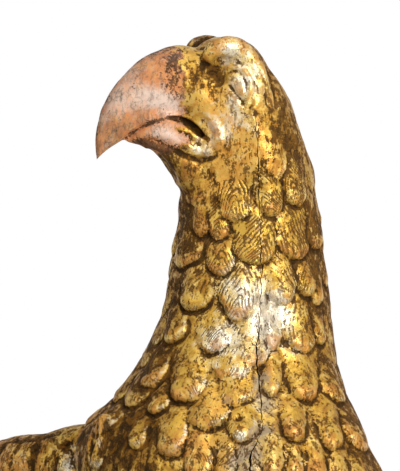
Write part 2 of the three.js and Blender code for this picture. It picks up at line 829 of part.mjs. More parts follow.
const headClearance = [head(glueGap), trunkAndNeck(glueGap)];
const upperBeak = cut(beak(upperBeakShares, upperBeakHalfWidth), [
  ...headClearance,
  beakDowel(dowelClearance),
]);
place("upper_beak", upperBeak, "beak");
const lowerBeak = cut(beak(lowerBeakShares, lowerBeakHalfWidth), [
  ...headClearance,
  beak(upperBeakShares, upperBeakHalfWidth, mouthGap),
]);
place("lower_beak", lowerBeak, "beak");
place("beak_dowel", beakDowel(0), "dowel");
neckDowels.forEach(({ name, solid }) => place(name, solid, "dowel"));

// Wings: three planks each, on two dowels.
const sides = { left: 1, right: -1 };
const wingHoles = [];
for (const [name, side] of Object.entries(sides)) {
  const holes = [0, 1].map((index) => wingDowel(side, index, dowelClearance));
  wingHoles.push(...holes);
  const { shoulder, inner, outer } = wingPlanks(side);
  place(`${name}_wing_shoulder_plank`, cut(shoulder, holes), "gilt");
  place(`${name}_wing_inner_plank`, inner, "gilt");
  place(`${name}_wing_outer_plank`, outer, "gilt");
  ["upper", "lower"].forEach((level, index) =>
    place(`${name}_wing_dowel_${level}`, wingDowel(side, index, 0), "dowel"),
  );
}

// Trunk: breast, core and back planks.
const trunkHoles = [
  ...neckDowels.map((dowel) => dowel.hole),
  ...wingHoles,
  ...Object.values(sides).flatMap((side) => [
    legRod(side, dowelClearance),
    tailScrew(side, dowelClearance),
  ]),
];
const [frontOfTrunk, backPlank] = split(cut(trunk, trunkHoles), at(0, backJointY, 0), at(0, 1, 0));
const [breastPlank, corePlank] = split(frontOfTrunk, at(0, breastJointY, 0), at(0, 1, 0));
place("trunk_breast_plank", breastPlank, "gilt");
place("trunk_core_plank", corePlank, "gilt");
place("trunk_back_plank", backPlank, "gilt");

// Tail and its screws.
const tailHoles = Object.values(sides).map((side) => tailScrew(side, dowelClearance));
place("tail_board", cut(tail(), [trunkAndNeck(glueGap), ...tailHoles]), "gilt");
for (const [name, side] of Object.entries(sides)) {
  place(`tail_screw_${name}`, tailScrew(side, 0), "iron");
}

// Legs, feet and rods.
for (const [name, side] of Object.entries(sides)) {
  const rodHole = legRod(side, dowelClearance);
  place(`${name}_thigh`, cut(thigh(side), [trunkAndNeck(glueGap), rodHole]), "gilt");
  const footCuts = [thigh(side, glueGap), rock(glueGap), rodHole];
  place(`${name}_foot`, cut(foot(side), footCuts), "giltDark");
  place(`${name}_leg_rod`, legRod(side, 0), "iron");
}
const rockHoles = Object.values(sides).map((side) => legRod(side, dowelClearance));
place("rock_base", cut(rock(), rockHoles), "giltDark");

export default figure;
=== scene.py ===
import math

import bpy
import numpy as np
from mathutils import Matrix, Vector
from mathutils.kdtree import KDTree


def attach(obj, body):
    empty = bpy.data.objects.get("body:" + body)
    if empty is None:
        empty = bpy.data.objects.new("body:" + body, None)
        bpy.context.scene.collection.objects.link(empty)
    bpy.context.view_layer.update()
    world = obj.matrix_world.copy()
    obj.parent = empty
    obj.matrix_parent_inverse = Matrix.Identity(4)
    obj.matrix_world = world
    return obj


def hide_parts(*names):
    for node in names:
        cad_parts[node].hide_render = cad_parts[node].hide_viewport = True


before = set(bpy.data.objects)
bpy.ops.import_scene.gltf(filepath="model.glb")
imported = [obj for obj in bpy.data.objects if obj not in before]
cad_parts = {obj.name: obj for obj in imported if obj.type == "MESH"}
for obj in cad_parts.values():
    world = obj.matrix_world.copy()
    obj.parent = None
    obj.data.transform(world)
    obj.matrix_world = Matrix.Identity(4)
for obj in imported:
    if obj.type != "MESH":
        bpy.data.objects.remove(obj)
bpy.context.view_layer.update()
mm = 0.001
bpy.context.scene.view_settings.view_transform = "Standard"

# Camera: sizes in millimetres, seen from the eagle's left front
shot = {
    "azimuth": 45.0,
    "elevation": 4.0,
    "distance": 2200.0,
    "aim": (-18.7, -43.7, 589.7),
    "seenHeight": 259.05,
    "pixels": (400, 471),
    "sensorHeight": 24.0,
    "farthest": 20000.0,
}
turn, rise = math.radians(shot["azimuth"]), math.radians(shot["elevation"])
backward = np.array([math.sin(turn) * math.cos(rise), -math.cos(turn) * math.cos(rise), math.sin(rise)])
rightward = np.array([math.cos(turn), math.sin(turn), 0.0])
upward = np.cross(backward, rightward)
lookout = np.array(shot["aim"]) + backward * shot["distance"]
pixelAngle = shot["seenHeight"] / shot["pixels"][1] / shot["distance"]


def makeCamera():
    lensData = bpy.data.cameras.new("shotCamera")
    lensData.sensor_fit = "VERTICAL"
    lensData.sensor_height = shot["sensorHeight"]
    lensData.lens = shot["sensorHeight"] * shot["distance"] / shot["seenHeight"]
    lensData.clip_end = shot["farthest"] * mm
    camera = bpy.data.objects.new("shotCamera", lensData)
    bpy.context.collection.objects.link(camera)
    camera.location = Vector(lookout * mm)
    camera.rotation_euler = Vector(backward).to_track_quat("Z", "Y").to_euler()
    bpy.context.scene.camera = camera


def photoRay(px, py):
    # the way from the camera through a point of the picture
    way = -backward + rightward * (px - shot["pixels"][0] / 2) * pixelAngle
    way = way + upward * (shot["pixels"][1] / 2 - py) * pixelAngle
    return way / np.linalg.norm(way)


# Shader maths: a sum on values adds its Math nodes
class Wire:
    def __init__(self, paint, socket):
        self.paint, self.socket = paint, socket

    def maths(self, kind, other=None, clamp=False):
        values = [self] if other is None else [self, other]
        return self.paint.node("ShaderNodeMath", {"operation": kind, "use_clamp": clamp}, values)

    def __add__(self, other):
        return self.maths("ADD", other)

    def __sub__(self, other):
        return self.maths("SUBTRACT", other)

    def __rsub__(self, other):
        return (self * -1.0) + other

    def __mul__(self, other):
        return self.maths("MULTIPLY", other)

    __radd__ = __add__
    __rmul__ = __mul__

    def held(self):
        # kept between 0 and 1
        return self.maths("ADD", 0.0, clamp=True)

    def swing(self, amount):
        # a value of 0 to 1, taken as this much unevenness about zero
        return (self - 0.5) * amount

    def sine(self):
        return self.maths("SINE")

    def step(self, low, high):
        # 0 below low, 1 above high, smooth between
        settings = {"interpolation_type": "SMOOTHSTEP"}
        values = {"Value": self, "From Min": low, "From Max": high}
        return self.paint.node("ShaderNodeMapRange", settings, values)


class Paint:
    def __init__(self, owner):
        # the owner is a new material or world
        owner.use_nodes = True
        self.owner, self.tree = owner, owner.node_tree

    def node(self, kind, settings=None, values=(), output=0):
        made = self.tree.nodes.new(kind)
        for key, value in (settings or {}).items():
            setattr(made, key, value)
        self.feed(made, dict(values) if isinstance(values, dict) else dict(enumerate(values)))
        return Wire(self, made.outputs[output])

    def feed(self, made, values):
        for key, value in values.items():
            socket = made.inputs[key]
            if isinstance(value, Wire):
                self.tree.links.new(value.socket, socket)
            elif socket.type == "RGBA" and len(value) == 3:
                socket.default_value = (*value, 1.0)
            else:
                socket.default_value = value

    def mix(self, share, first, second):
        # inputs 6 and 7 and output 2 are the node's colours
        settings = {"data_type": "RGBA", "clamp_factor": True}
        return self.node("ShaderNodeMix", settings, {0: share, 6: first, 7: second}, output=2)

    def place(self, scale=(1.0, 1.0, 1.0), location=(0.0, 0.0, 0.0)):
        where = self.node("ShaderNodeTexCoord", output="Object")
        values = {"Vector": where, "Scale": scale, "Location": location}
        return self.node("ShaderNodeMapping", values=values)

    def noise(self, where, size, detail=3.0, rough=0.55, distortion=0.0):
        # size in millimetres
        values = {"Vector": where, "Scale": 1 / (size * mm), "Detail": detail}
        values.update({"Roughness": rough, "Distortion": distortion})
        return self.node("ShaderNodeTexNoise", values=values)

    def bump(self, height, strength, distance):
        # distance in millimetres
        values = {"Strength": strength, "Distance": distance * mm, "Height": height}
        return self.node("ShaderNodeBump", values=values)

    def attribute(self, name):
        return self.node("ShaderNodeAttribute", {"attribute_name": name}, output="Fac")

    def finish(self, values):
        self.feed(self.tree.nodes["Principled BSDF"], values)
        return self.owner


# Light and stage: sizes in millimetres, power in watts
lamps = {
    "key": {"azimuth": 72, "elevation": 24, "distance": 1500, "size": (460, 900), "power": 19.0},
    "side": {"azimuth": 116, "elevation": -10, "distance": 1600, "size": (220, 1100), "power": 5.0},
    "top": {"azimuth": 40, "elevation": 80, "distance": 1500, "size": (700, 700), "power": 3.5},
    "left": {"azimuth": -20, "elevation": 14, "distance": 1600, "size": (500, 900), "power": 2.8},
}
studio = {
    "lampAim": (0.0, -20.0, 520.0),
    "worldStrength": 0.17,
    "white": (1.0, 1.0, 1.0),
    "whiteStrength": 1.0,
    "floorSize": 4000.0,
    "floorDrop": 0.5,
    "floorDull": (0.86, 0.86, 0.86),
    "floorPale": (0.9, 0.9, 0.9),
    "floorCloud": 900.0,
    "floorRoughness": 0.9,
}


def lookDirection(azimuth, elevation):
    a, e = math.radians(azimuth), math.radians(elevation)
    return np.array([math.sin(a) * math.cos(e), -math.cos(a) * math.cos(e), math.sin(e)])


def makeLights():
    for name, values in lamps.items():
        lamp = bpy.data.lights.new(name, "AREA")
        lamp.shape = "RECTANGLE"
        lamp.size, lamp.size_y = values["size"][0] * mm, values["size"][1] * mm
        lamp.energy = values["power"]
        holder = bpy.data.objects.new(name, lamp)
        bpy.context.collection.objects.link(holder)
        way = lookDirection(values["azimuth"], values["elevation"])
        holder.location = Vector((np.array(studio["lampAim"]) + way * values["distance"]) * mm)
        holder.rotation_euler = Vector(way).to_track_quat("Z", "Y").to_euler()


def makeWorld():
    # dim light on the object, plain white for the camera and in what the metal reflects
    world = bpy.data.worlds.new("studio")
    bpy.context.scene.world = world
    paint = Paint(world)
    seen = paint.node("ShaderNodeLightPath", output="Is Camera Ray")
    for name in ("Is Glossy Ray", "Is Transmission Ray"):
        seen = seen.maths("MAXIMUM", paint.node("ShaderNodeLightPath", output=name))
    glow = {"Color": studio["white"], "Strength": studio["worldStrength"]}
    backdrop = {"Color": studio["white"], "Strength": studio["whiteStrength"]}
    plain = paint.node("ShaderNodeBackground", values=glow)
    white = paint.node("ShaderNodeBackground", values=backdrop)
    mixed = paint.node("ShaderNodeMixShader", values=(seen, plain, white))
    paint.tree.nodes.remove(paint.tree.nodes["Background"])
    paint.feed(paint.tree.nodes["World Output"], {"Surface": mixed})


def makeFloor():
    bpy.ops.object.select_all(action="DESELECT")
    bpy.ops.mesh.primitive_plane_add(
        size=studio["floorSize"] * mm, location=(0, 0, -studio["floorDrop"] * mm)
    )
    floor = bpy.context.active_object
    floor.name = "studio_floor"
    bpy.ops.object.transform_apply(location=True)
    paint = Paint(bpy.data.materials.new("studio_floor"))
    cloud = paint.noise(paint.place(), studio["floorCloud"], 2.0)
    colour = paint.mix(cloud, studio["floorDull"], studio["floorPale"])
    floor.data.materials.append(
        paint.finish({"Base Color": colour, "Roughness": studio["floorRoughness"]})
    )


# Mesh helpers: all lengths in millimetres
blockReach = 900.0  # how far a cutting block goes, beyond any piece
mergeReach = 0.001  # points nearer than this become one


def newPiece(name, points, faces):
    mesh = bpy.data.meshes.new(name)
    mesh.from_pydata((np.asarray(points) * mm).tolist(), [], faces)
    piece = bpy.data.objects.new(name, mesh)
    bpy.context.collection.objects.link(piece)
    pick(piece)
    bpy.ops.object.mode_set(mode="EDIT")
    bpy.ops.mesh.select_all(action="SELECT")
    bpy.ops.mesh.remove_doubles(threshold=mergeReach * mm)
    bpy.ops.mesh.normals_make_consistent(inside=False)
    bpy.ops.object.mode_set(mode="OBJECT")
    return piece


def pick(*pieces):
    bpy.ops.object.select_all(action="DESELECT")
    for piece in pieces:
        piece.select_set(True)
    bpy.context.view_layer.objects.active = pieces[0]


def catmull(rows, steps, closed=False):
    # a smooth curve through the rows, with so many steps between two of them
    rows = np.array(rows, float)
    count = len(rows) if closed else len(rows) - 1
    if closed:
        padded = np.vstack([rows[-1], rows, rows[0], rows[1]])
    else:
        padded = np.vstack([2 * rows[0] - rows[1], rows, 2 * rows[-1] - rows[-2]])
    made = []
    for i in range(count):
        a, b, c, d = padded[i : i + 4]
        slope, curve, twist = c - a, 2 * a - 5 * b + 4 * c - d, 3 * b - a - 3 * c + d
        for t in np.arange(steps) / steps:
            made.append(0.5 * (2 * b + slope * t + curve * t**2 + twist * t**3))
    if not closed:
        made.append(rows[-1])
    return np.array(made)


def loftPiece(name, rings):
    # a closed skin over rings of points, with a middle point at each end
    rings = np.asarray(rings)
    rowCount, sideCount = rings.shape[:2]
    points = np.vstack([rings.reshape(-1, 3), rings[0].mean(0), rings[-1].mean(0)])
    r, s = np.meshgrid(np.arange(rowCount - 1), np.arange(sideCount), indexing="ij")
    a, b = (r * sideCount + s).ravel(), (r * sideCount + (s + 1) % sideCount).ravel()
    faces = np.stack([a, b, b + sideCount, a + sideCount], 1).tolist()
    first, last = rowCount * sideCount, rowCount * sideCount + 1
    low = (rowCount - 1) * sideCount
    for s in range(sideCount):
        nextSide = (s + 1) % sideCount
        faces += [[first, nextSide, s], [last, low + s, low + nextSide]]
    return newPiece(name, points, faces)


def limbPiece(name, path, radii, sides=24, steps=8, flat=1.0):
    # a round or flattened rod along a smooth path
    centres = catmull(path, steps)
    sizes = np.interp(np.linspace(0, 1, len(centres)), np.linspace(0, 1, len(radii)), radii)
    span = centres[-1] - centres[0]
    reference = np.eye(3)[np.argmin(np.abs(span))]
    angle = np.linspace(0, 2 * math.pi, sides, endpoint=False)
    rings = []
    for i, centre in enumerate(centres):
        along = centres[min(i + 1, len(centres) - 1)] - centres[max(i - 1, 0)]
        across = np.cross(along, reference)
        across /= np.linalg.norm(across)
        beside = np.cross(across, along)
        beside /= np.linalg.norm(beside)
        circle = flat * np.cos(angle)[:, None] * across + np.sin(angle)[:, None] * beside
        rings.append(centre + sizes[i] * circle)
    return loftPiece(name, rings)


def ballPiece(name, centre, radii):
    bpy.ops.object.select_all(action="DESELECT")
    bpy.ops.mesh.primitive_uv_sphere_add(segments=32, ring_count=20, radius=1.0)
    ball = bpy.context.active_object
    ball.name = name
    writePoints(ball, readPoints(ball) * mm * np.array(radii) + np.array(centre))
    return ball


def flatSheet(u, v):
    return np.zeros_like(u)


def planeBlock(point, normal):
    # everything in front of a plane
    normal = np.asarray(normal, float) / np.linalg.norm(normal)
    across = np.cross(normal, np.eye(3)[np.argmin(np.abs(normal))])
    across /= np.linalg.norm(across)
    axes = (across, np.cross(normal, across), normal)
    reach = (-blockReach, blockReach)
    return sheetBlock("block", point, axes, (reach, reach), (2, 2), flatSheet, blockReach)


def readPoints(piece):
    points = np.empty(len(piece.data.vertices) * 3)
    piece.data.vertices.foreach_get("co", points)
    return points.reshape(-1, 3) / mm


def writePoints(piece, points):
    piece.data.vertices.foreach_set("co", (points * mm).ravel())
    piece.data.update()


def readNormals(piece):
    normals = np.empty(len(piece.data.vertices) * 3)
    piece.data.vertex_normals.foreach_get("vector", normals)
    return normals.reshape(-1, 3)


def readEdges(piece):
    edges = np.empty(len(piece.data.edges) * 2, int)
    piece.data.edges.foreach_get("vertices", edges)
    return edges.reshape(-1, 2)


def joined(name, pieces):
    pick(*pieces)
    bpy.ops.object.join()
    pieces[0].name = name
    return pieces[0]


def applied(piece, kind, **settings):
    pick(piece)
    modifier = piece.modifiers.new(kind, kind)
    for key, value in settings.items():
        setattr(modifier, key, value)
    bpy.ops.object.modifier_apply(modifier=modifier.name)
    return piece


def melted(name, pieces, grain):
    # one skin over all the pieces, with faces about as wide as the grain
    whole = joined(name, pieces)
    return applied(whole, "REMESH", mode="VOXEL", voxel_size=grain * mm, adaptivity=0.0)


def smoothed(piece, rounds):
    # evens out the remeshed skin; gives its points, their normals and its edges
    edges = readEdges(piece)
    points = relaxed(readPoints(piece), edges, rounds)
    writePoints(piece, points)
    bpy.context.view_layer.update()
    return points, readNormals(piece), edges


def relaxed(points, edges, rounds, share=0.5):
    count = np.bincount(edges.ravel(), minlength=len(points))[:, None]
    for _ in range(rounds):
        total = np.empty_like(points)
        for axis in range(points.shape[1]):
            column = points[:, axis]
            total[:, axis] = np.bincount(edges[:, 0], column[edges[:, 1]], len(points))
            total[:, axis] += np.bincount(edges[:, 1], column[edges[:, 0]], len(points))
        points = points + share * (total / count - points)
    return points


def cutBy(piece, tool, kind="DIFFERENCE", keepTool=False):
    applied(piece, "BOOLEAN", operation=kind, solver="MANIFOLD", object=tool)
    if not keepTool:
        dropped(tool)
    return piece


def partAt(piece, point, normal, gap=0.1):
    # splits a piece at a plane: what lies behind it, then what lies in front
    normal = np.asarray(normal, float) / np.linalg.norm(normal)
    ahead = copyOf(piece, piece.name + "_ahead")
    cutBy(piece, planeBlock(np.asarray(point) - normal * gap / 2, normal))
    cutBy(ahead, planeBlock(np.asarray(point) + normal * gap / 2, normal), "INTERSECT")
    return piece, ahead


def copyOf(piece, name):
    made = piece.copy()
    made.data = piece.data.copy()
    made.name = name
    bpy.context.collection.objects.link(made)
    return made


def dropped(*pieces):
    for piece in pieces:
        mesh = piece.data
        bpy.data.objects.remove(piece)
        bpy.data.meshes.remove(mesh)


def sheetBlock(name, origin, axes, reach, counts, surface, far):
    # a block on one side of a curved sheet: axes are along, across and out of the sheet
    u, v = np.meshgrid(
        np.linspace(*reach[0], counts[0]), np.linspace(*reach[1], counts[1]), indexing="ij"
    )
    along, across, out = [np.asarray(axis, float) for axis in axes]
    base = np.asarray(origin) + u[..., None] * along + v[..., None] * across
    near = base + surface(u, v)[..., None] * out
    rear = base + far * out
    points = np.vstack([near.reshape(-1, 3), rear.reshape(-1, 3)])
    rows, columns = counts
    size = rows * columns
    grid = np.arange(size).reshape(rows, columns)
    faces = []
    for i in range(rows - 1):
        for j in range(columns - 1):
            a, b, c, d = grid[i, j], grid[i + 1, j], grid[i + 1, j + 1], grid[i, j + 1]
            faces += [[a, b, c, d], [size + d, size + c, size + b, size + a]]
    rim = [*grid[:, 0], *grid[-1, 1:], *grid[-2::-1, -1], *grid[0, -2:0:-1]]
    for a, b in zip(rim, rim[1:] + rim[:1]):
        faces.append([b, a, size + a, size + b])
    return newPiece(name, points, [[int(k) for k in face] for face in faces])


def wobble(points, size, seed):
    # smooth made-up unevenness, about -1 to 1, with waves about as long as the size
    dice = np.random.default_rng(seed)
    total = np.zeros(len(points))
    for _ in range(6):
        way = dice.normal(size=3)
        way /= np.linalg.norm(way)
        length = size * dice.uniform(0.7, 1.5)
        total += np.sin(points @ way * 2 * math.pi / length + dice.uniform(0, 6.28))
    return total / 3.0


def ramp(values, low, high):
    t = np.clip((values - low) / (high - low), 0, 1)
    return t * t * (3 - 2 * t)


# Feathers, cut as overlapping scales: lengths in millimetres, shares of the feather's length
featherCut = {
    "tip": 0.42,  # share that the rounded tip takes up
    "moat": 2.8,  # ground cut back just outside the tip
    "wander": 0.8,  # how far the edges stray
    "thinnest": 0.01,
    "rimInset": 1.7,  # where the tip's bright edge runs
    "fan": 1.15,  # barbs across for each barb along
}


class Feather:
    def __init__(self, tip, down, normal, width, length, height=3.0, barbs=1.0, point=2.0, puff=0.0):
        self.tip = np.asarray(tip, float)
        normal = np.asarray(normal, float) / np.linalg.norm(normal)
        down = np.asarray(down, float) - normal * np.dot(down, normal)
        self.down = down / np.linalg.norm(down)
        self.normal = normal
        self.across = np.cross(normal, self.down)
        self.width, self.length, self.height = width, length, height
        self.barbs, self.point, self.puff = barbs, point, puff

    def outline(self, share):
        # half width at a share of the rounded tip, 1 where it is widest
        return (1 - (1 - share) ** self.point) ** (1 / self.point)

    def moat(self, t, v):
        # the ground just outside the tip, which is cut back
        band = featherCut["moat"]
        share = np.clip((t + band) / (featherCut["tip"] * self.length + band), 0, 1)
        half = (self.width / 2 + band) * self.outline(share)
        outside = np.clip(np.minimum(half - np.abs(v), t + band) / band, 0, 1)
        return outside * (1 - ramp(t / self.length, 0.03, 0.32 - 0.1 * self.puff))

    def swell(self, t, v):
        # height above the ground inside the outline: flat, or spoon-shaped where it is puffed
        share = t / self.length
        outline = self.outline(np.clip(share / featherCut["tip"], 0, 1))
        half = self.width / 2 * outline * (1 - 0.15 * ramp(share, 0.6, 1.0))
        flank = np.clip(1 - (v / np.maximum(half, featherCut["thinnest"])) ** 2, 0, 1)
        flank = flank ** (0.27 + 0.25 * self.puff + 1.1 * ramp(share, 0.08, 0.55))
        rise = 1 - (0.25 + 0.2 * self.puff) * (1 - ramp(t, 0, 4.0 + 4.0 * self.puff))
        flat = 1 - np.clip((share - 0.15) / 0.85, 0, 1) ** 1.15
        spoon = (1 - np.clip((share - 0.12) / 0.88, 0, 1)) ** 1.3
        lengthwise = flat + (spoon - flat) * self.puff
        return self.height * (1 + 0.45 * self.puff) * flank * rise * lengthwise

    def rim(self, t, v, rimStrength):
        # the tip's edge towards the viewer's right: raised a little, and painted pale as a highlight
        share = t / self.length
        ahead = 1 - np.clip(share / featherCut["tip"], 0, 1)
        out = ((2 * np.abs(v) / self.width) ** self.point + ahead**self.point) ** (1 / self.point)
        edge = np.exp(-(((1 - out) * self.width / 2 - featherCut["rimInset"]) ** 2))
        edge *= 1 - ramp(share, 0.3, 0.55)
        return edge * (np.clip(0.45 + 1.5 * v / self.width, 0, 1) * rimStrength * (0.4 + 0.6 * self.puff))


def carveFeathers(points, feathers, seed=1, depthLimit=14.0):
    # height of the cut scales at each point, with the place inside the feather that lies on top
    size = len(points)
    field = {name: np.zeros(size) for name in ("height", "phase", "barbs", "dip", "rimAndHighlight")}
    field["along"] = np.full(size, 60.0)
    field["tone"] = np.full(size, 0.5)
    bend = featherCut["wander"] * np.stack([wobble(points, 17.0, seed), wobble(points, 12.0, seed + 1)], 1)
    stray = 0.18 * wobble(points, 10.0, seed + 2) + 0.06 * wobble(points, 4.0, seed + 3)
    dice = np.random.default_rng(seed + 5)
    for feather in feathers:
        tone, slope = dice.uniform(), dice.uniform(0.2, 0.65)
        pitch, start = dice.uniform(0.85, 1.2), dice.uniform()
        # lean of the quill, and strength of the tip's rim and its painted highlight
        lean, rimStrength = dice.uniform(-0.4, 0.4), dice.uniform(0.3, 1.0)
        arch = dice.uniform(0.3, 1.6)
        reach = feather.length + feather.width
        near = np.nonzero((np.abs(points - feather.tip) < reach).all(1))[0]
        away = points[near] - feather.tip
        t = -(away @ feather.down) + bend[near, 0]
        v = away @ feather.across + bend[near, 1]
        close = np.abs(away @ feather.normal) < depthLimit
        moat = feather.moat(t, v) * close
        field["dip"][near] = np.maximum(field["dip"][near], moat * feather.height)
        inside = (t > 0) & (t < feather.length) & (np.abs(v) < feather.width / 2) & close
        near, t, v = near[inside], t[inside], v[inside]
        height, rim = feather.swell(t, v), feather.rim(t, v, rimStrength)
        better = height > field["height"][near]
        near, t, v, height, rim = [a[better] for a in (near, t, v, height, rim)]
        field["height"][near] = height
        field["along"][near] = t
        # the tip's rim, raised a little and painted pale as a highlight
        field["rimAndHighlight"][near] = rim
        # barbs fan out from the quill, closer together towards the root
        spread = np.sqrt((v + lean * t) ** 2 + arch**2)
        fan = featherCut["fan"] * spread * (1 - 0.3 * ramp(t, 4.0, 22.0)) + slope * t
        field["phase"][near] = fan / (gilding["barbPitch"] * pitch) + stray[near] + start
        field["barbs"][near] = feather.barbs
        field["tone"][near] = tone
    field["dip"] *= 1 - ramp(field["height"], 0.5, 2.2)
    return field


# Where a point just off the outline is looked for, in points of the picture
pictureMiddle = (240.0, 200.0)
searchSteps = 40
searchStep = 0.7


def onPiece(piece, origin, way):
    # the place that a ray meets, and its normal
    hit, place, normal, _ = piece.ray_cast(Vector(np.asarray(origin) * mm), Vector(way))
    return (np.array(place) / mm, np.array(normal)) if hit else (None, None)


def onPhoto(piece, px, py):
    # the place on the piece that the camera sees at a point of the picture, or the nearest one inwards
    inwards = np.array(pictureMiddle) - (px, py)
    inwards /= np.linalg.norm(inwards)
    for shift in range(searchSteps):
        x, y = np.array([px, py]) + shift * searchStep * inwards
        place, normal = onPiece(piece, lookout, photoRay(x, y))
        if place is not None:
            return place, normal
    raise ValueError(f"nothing at {px}, {py}")


def distanceToLine(points, line):
    best, along = np.full(len(points), 1e9), np.zeros(len(points))
    for i, (a, b) in enumerate(zip(line[:-1], line[1:])):
        step = b - a
        t = np.clip((points - a) @ step / (step @ step), 0, 1)
        gap = np.linalg.norm(points - a - t[:, None] * step, axis=1)
        closer = gap < best
        best[closer], along[closer] = gap[closer], i + t[closer]
    return best, along / (len(line) - 1)


def strokes(points, lines):
    # carving strokes: each is a line, a radius, a height (below zero cuts) and how its ends fade
    total = np.zeros(len(points))
    for line, radius, height, fade in lines:
        line = np.asarray(line)
        low, high = line.min(0) - 3 * radius, line.max(0) + 3 * radius
        near = np.nonzero(((points > low) & (points < high)).all(1))[0]
        if len(line) == 1:
            gap, along = np.linalg.norm(points[near] - line[0], axis=1), np.full(len(near), 0.5)
        else:
            gap, along = distanceToLine(points[near], line)
        ends = np.clip(np.minimum(along, 1 - along) / max(fade, 1e-6), 0, 1) ** 0.7 if fade else 1.0
        total[near] += height * np.exp(-((gap / radius) ** 2)) * ends
    return total


def store(piece, name, values):
    layer = piece.data.attributes.get(name) or piece.data.attributes.new(name, "FLOAT", "POINT")
    layer.data.foreach_set("value", np.asarray(values, np.float32))


def hollows(points, normals, edges):
    # how far each point lies below (above zero) or above its surroundings, in millimetres
    fine = ((relaxed(points, edges, 4) - points) * normals).sum(1)
    broad = ((relaxed(points, edges, 36) - points) * normals).sum(1)
    return fine, broad


def mendCuts(piece):
    # a cut leaves its new points without values: each takes those of the nearest old point
    layers = [a for a in piece.data.attributes if a.data_type == "FLOAT" and a.domain == "POINT"]
    kept = np.empty(len(piece.data.vertices), np.float32)
    piece.data.attributes["kept"].data.foreach_get("value", kept)
    old, new = np.nonzero(kept > 0.5)[0], np.nonzero(kept <= 0.5)[0]
    points = readPoints(piece)
    tree = KDTree(len(old))
    for i in old:
        tree.insert(points[i], int(i))
    tree.balance()
    nearest = [tree.find(points[i])[1] for i in new]
    for layer in layers:
        values = np.empty(len(points), np.float32)
        layer.data.foreach_get("value", values)
        values[new] = values[nearest]
        layer.data.foreach_set("value", values)


def smoothShaded(piece, angle=50):
    pick(piece)
    bpy.ops.object.shade_smooth_by_angle(angle=math.radians(angle))


def handOver(piece, name, material, slot, *nodes):
    mendCuts(piece)
    smoothShaded(piece)
    piece.name = piece.data.name = name
    piece.data.materials.clear()
    piece.data.materials.append(material)
    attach(piece, "root")
    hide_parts(*nodes)


# Gilding: worn leaf over red clay, toned dark in the hollows, with painted shade and painted highlights in its
# colour
gilding = {
    "gold": (0.62, 0.37, 0.055),
    "pale": (0.8, 0.6, 0.23),
    "silver": (0.84, 0.76, 0.6),
    "amber": (0.37, 0.145, 0.014),
    "honey": (0.8, 0.41, 0.085),
    "clay": (0.56, 0.23, 0.05),
    "brown": (0.17, 0.078, 0.018),
    "dark": (0.038, 0.02, 0.007),
    "haze": (0.36, 0.29, 0.2),
    "metallic": 0.5,
    "roughness": 0.34,
    "coatRoughness": 0.16,
    "refraction": 1.12,
    "barbPitch": 1.75,
    "reliefStrength": 0.85,
    "reliefDepth": 0.8,
}
# Unevenness of the gilding: size in millimetres, detail, roughness, distortion, low and high step
grains = {
    "broad": (46, 3.0, 0.6, 0.0, 0.34, 0.66),
    "patch": (13, 6.0, 0.66, 0.5, 0.34, 0.66),
    "fine": (4.4, 5.0, 0.7, 0.0, 0.34, 0.66),
    "grit": (1.5, 3.0, 0.7, 0.0, 0.3, 0.7),
    "hue": (7.0, 5.0, 0.7, 0.6, 0.36, 0.64),
    "streak": (3.0, 5.0, 0.7, 0.0, 0.34, 0.66),
}
grainPlaces = {
    "hue": {"location": (0.2, 0.1, 0.05)},
    "streak": {"scale": (1, 1, 0.35), "location": (0.03, 0.01, 0)},
}
# Colours of the beak's bare ground; the grey one is laid on as a painted highlight
beakColours = {
    "peach": (0.84, 0.375, 0.155),
    "copper": (0.6, 0.225, 0.08),
    "tan": (0.36, 0.18, 0.085),
    "grey": (0.8, 0.64, 0.53),
    "brown": (0.1, 0.046, 0.02),
}
crazing = {"scale": 230.0, "stretch": (1, 1, 0.6), "width": 0.08}


def rubbedBeak(paint, broad, patch, fine, grit, hue, streak, speck):
    # where the leaf is rubbed down to its red ground, and the colour of that ground, with a painted grey
    # highlight and dark marks that are partly painted shade
    bole = paint.attribute("bole") + patch.swing(0.75) + fine.swing(0.6) + grit.swing(0.2)
    reddish = (broad * 0.6 + hue * 0.5 - 0.1).held()
    bare = paint.mix(reddish, beakColours["copper"], beakColours["peach"])
    tanned = (paint.attribute("clay") * 0.85 + patch.swing(0.5) + streak.swing(0.6) - 0.05).held()
    bare = paint.mix(tanned, bare, beakColours["tan"])
    bare = paint.mix((hue * 0.8 + fine * 0.4 - 0.65).held() * 0.6, bare, gilding["gold"])
    values = {"Vector": paint.place(scale=crazing["stretch"]), "Scale": crazing["scale"]}
    cells = paint.node("ShaderNodeTexVoronoi", {"feature": "DISTANCE_TO_EDGE"}, values)
    cracks = 1 - (cells + grit.swing(0.16)).step(0.0, crazing["width"])
    cracks = cracks * (streak * 0.9 + patch * 0.6 - 0.3).held()
    # a pale grey highlight painted into the colour, which also lightens the beak's left side
    sheen = paint.attribute("sheen") + broad.swing(0.3) + fine.swing(0.35) + streak.swing(0.35)
    bare = paint.mix(sheen.held() * 0.9, bare, beakColours["grey"])
    bare = paint.mix((grit * 0.6 + streak * 0.7 - 0.7).held() * 0.9, bare, beakColours["tan"])
    bare = paint.mix(cracks * 0.6, bare, beakColours["brown"])
    # dark marks: soiling near the beak's root, and painted shade under the jaw, along the ridge and in the
    # mouth's line
    soil = paint.attribute("soil") * 1.15 + patch.swing(0.4) + fine.swing(0.4) + grit.swing(0.9)
    soiled = (speck * 0.15 + soil.step(0.45, 0.7) * 0.85).held()
    return bole.step(0.4, 0.6), paint.mix(soiled, bare, beakColours["brown"])


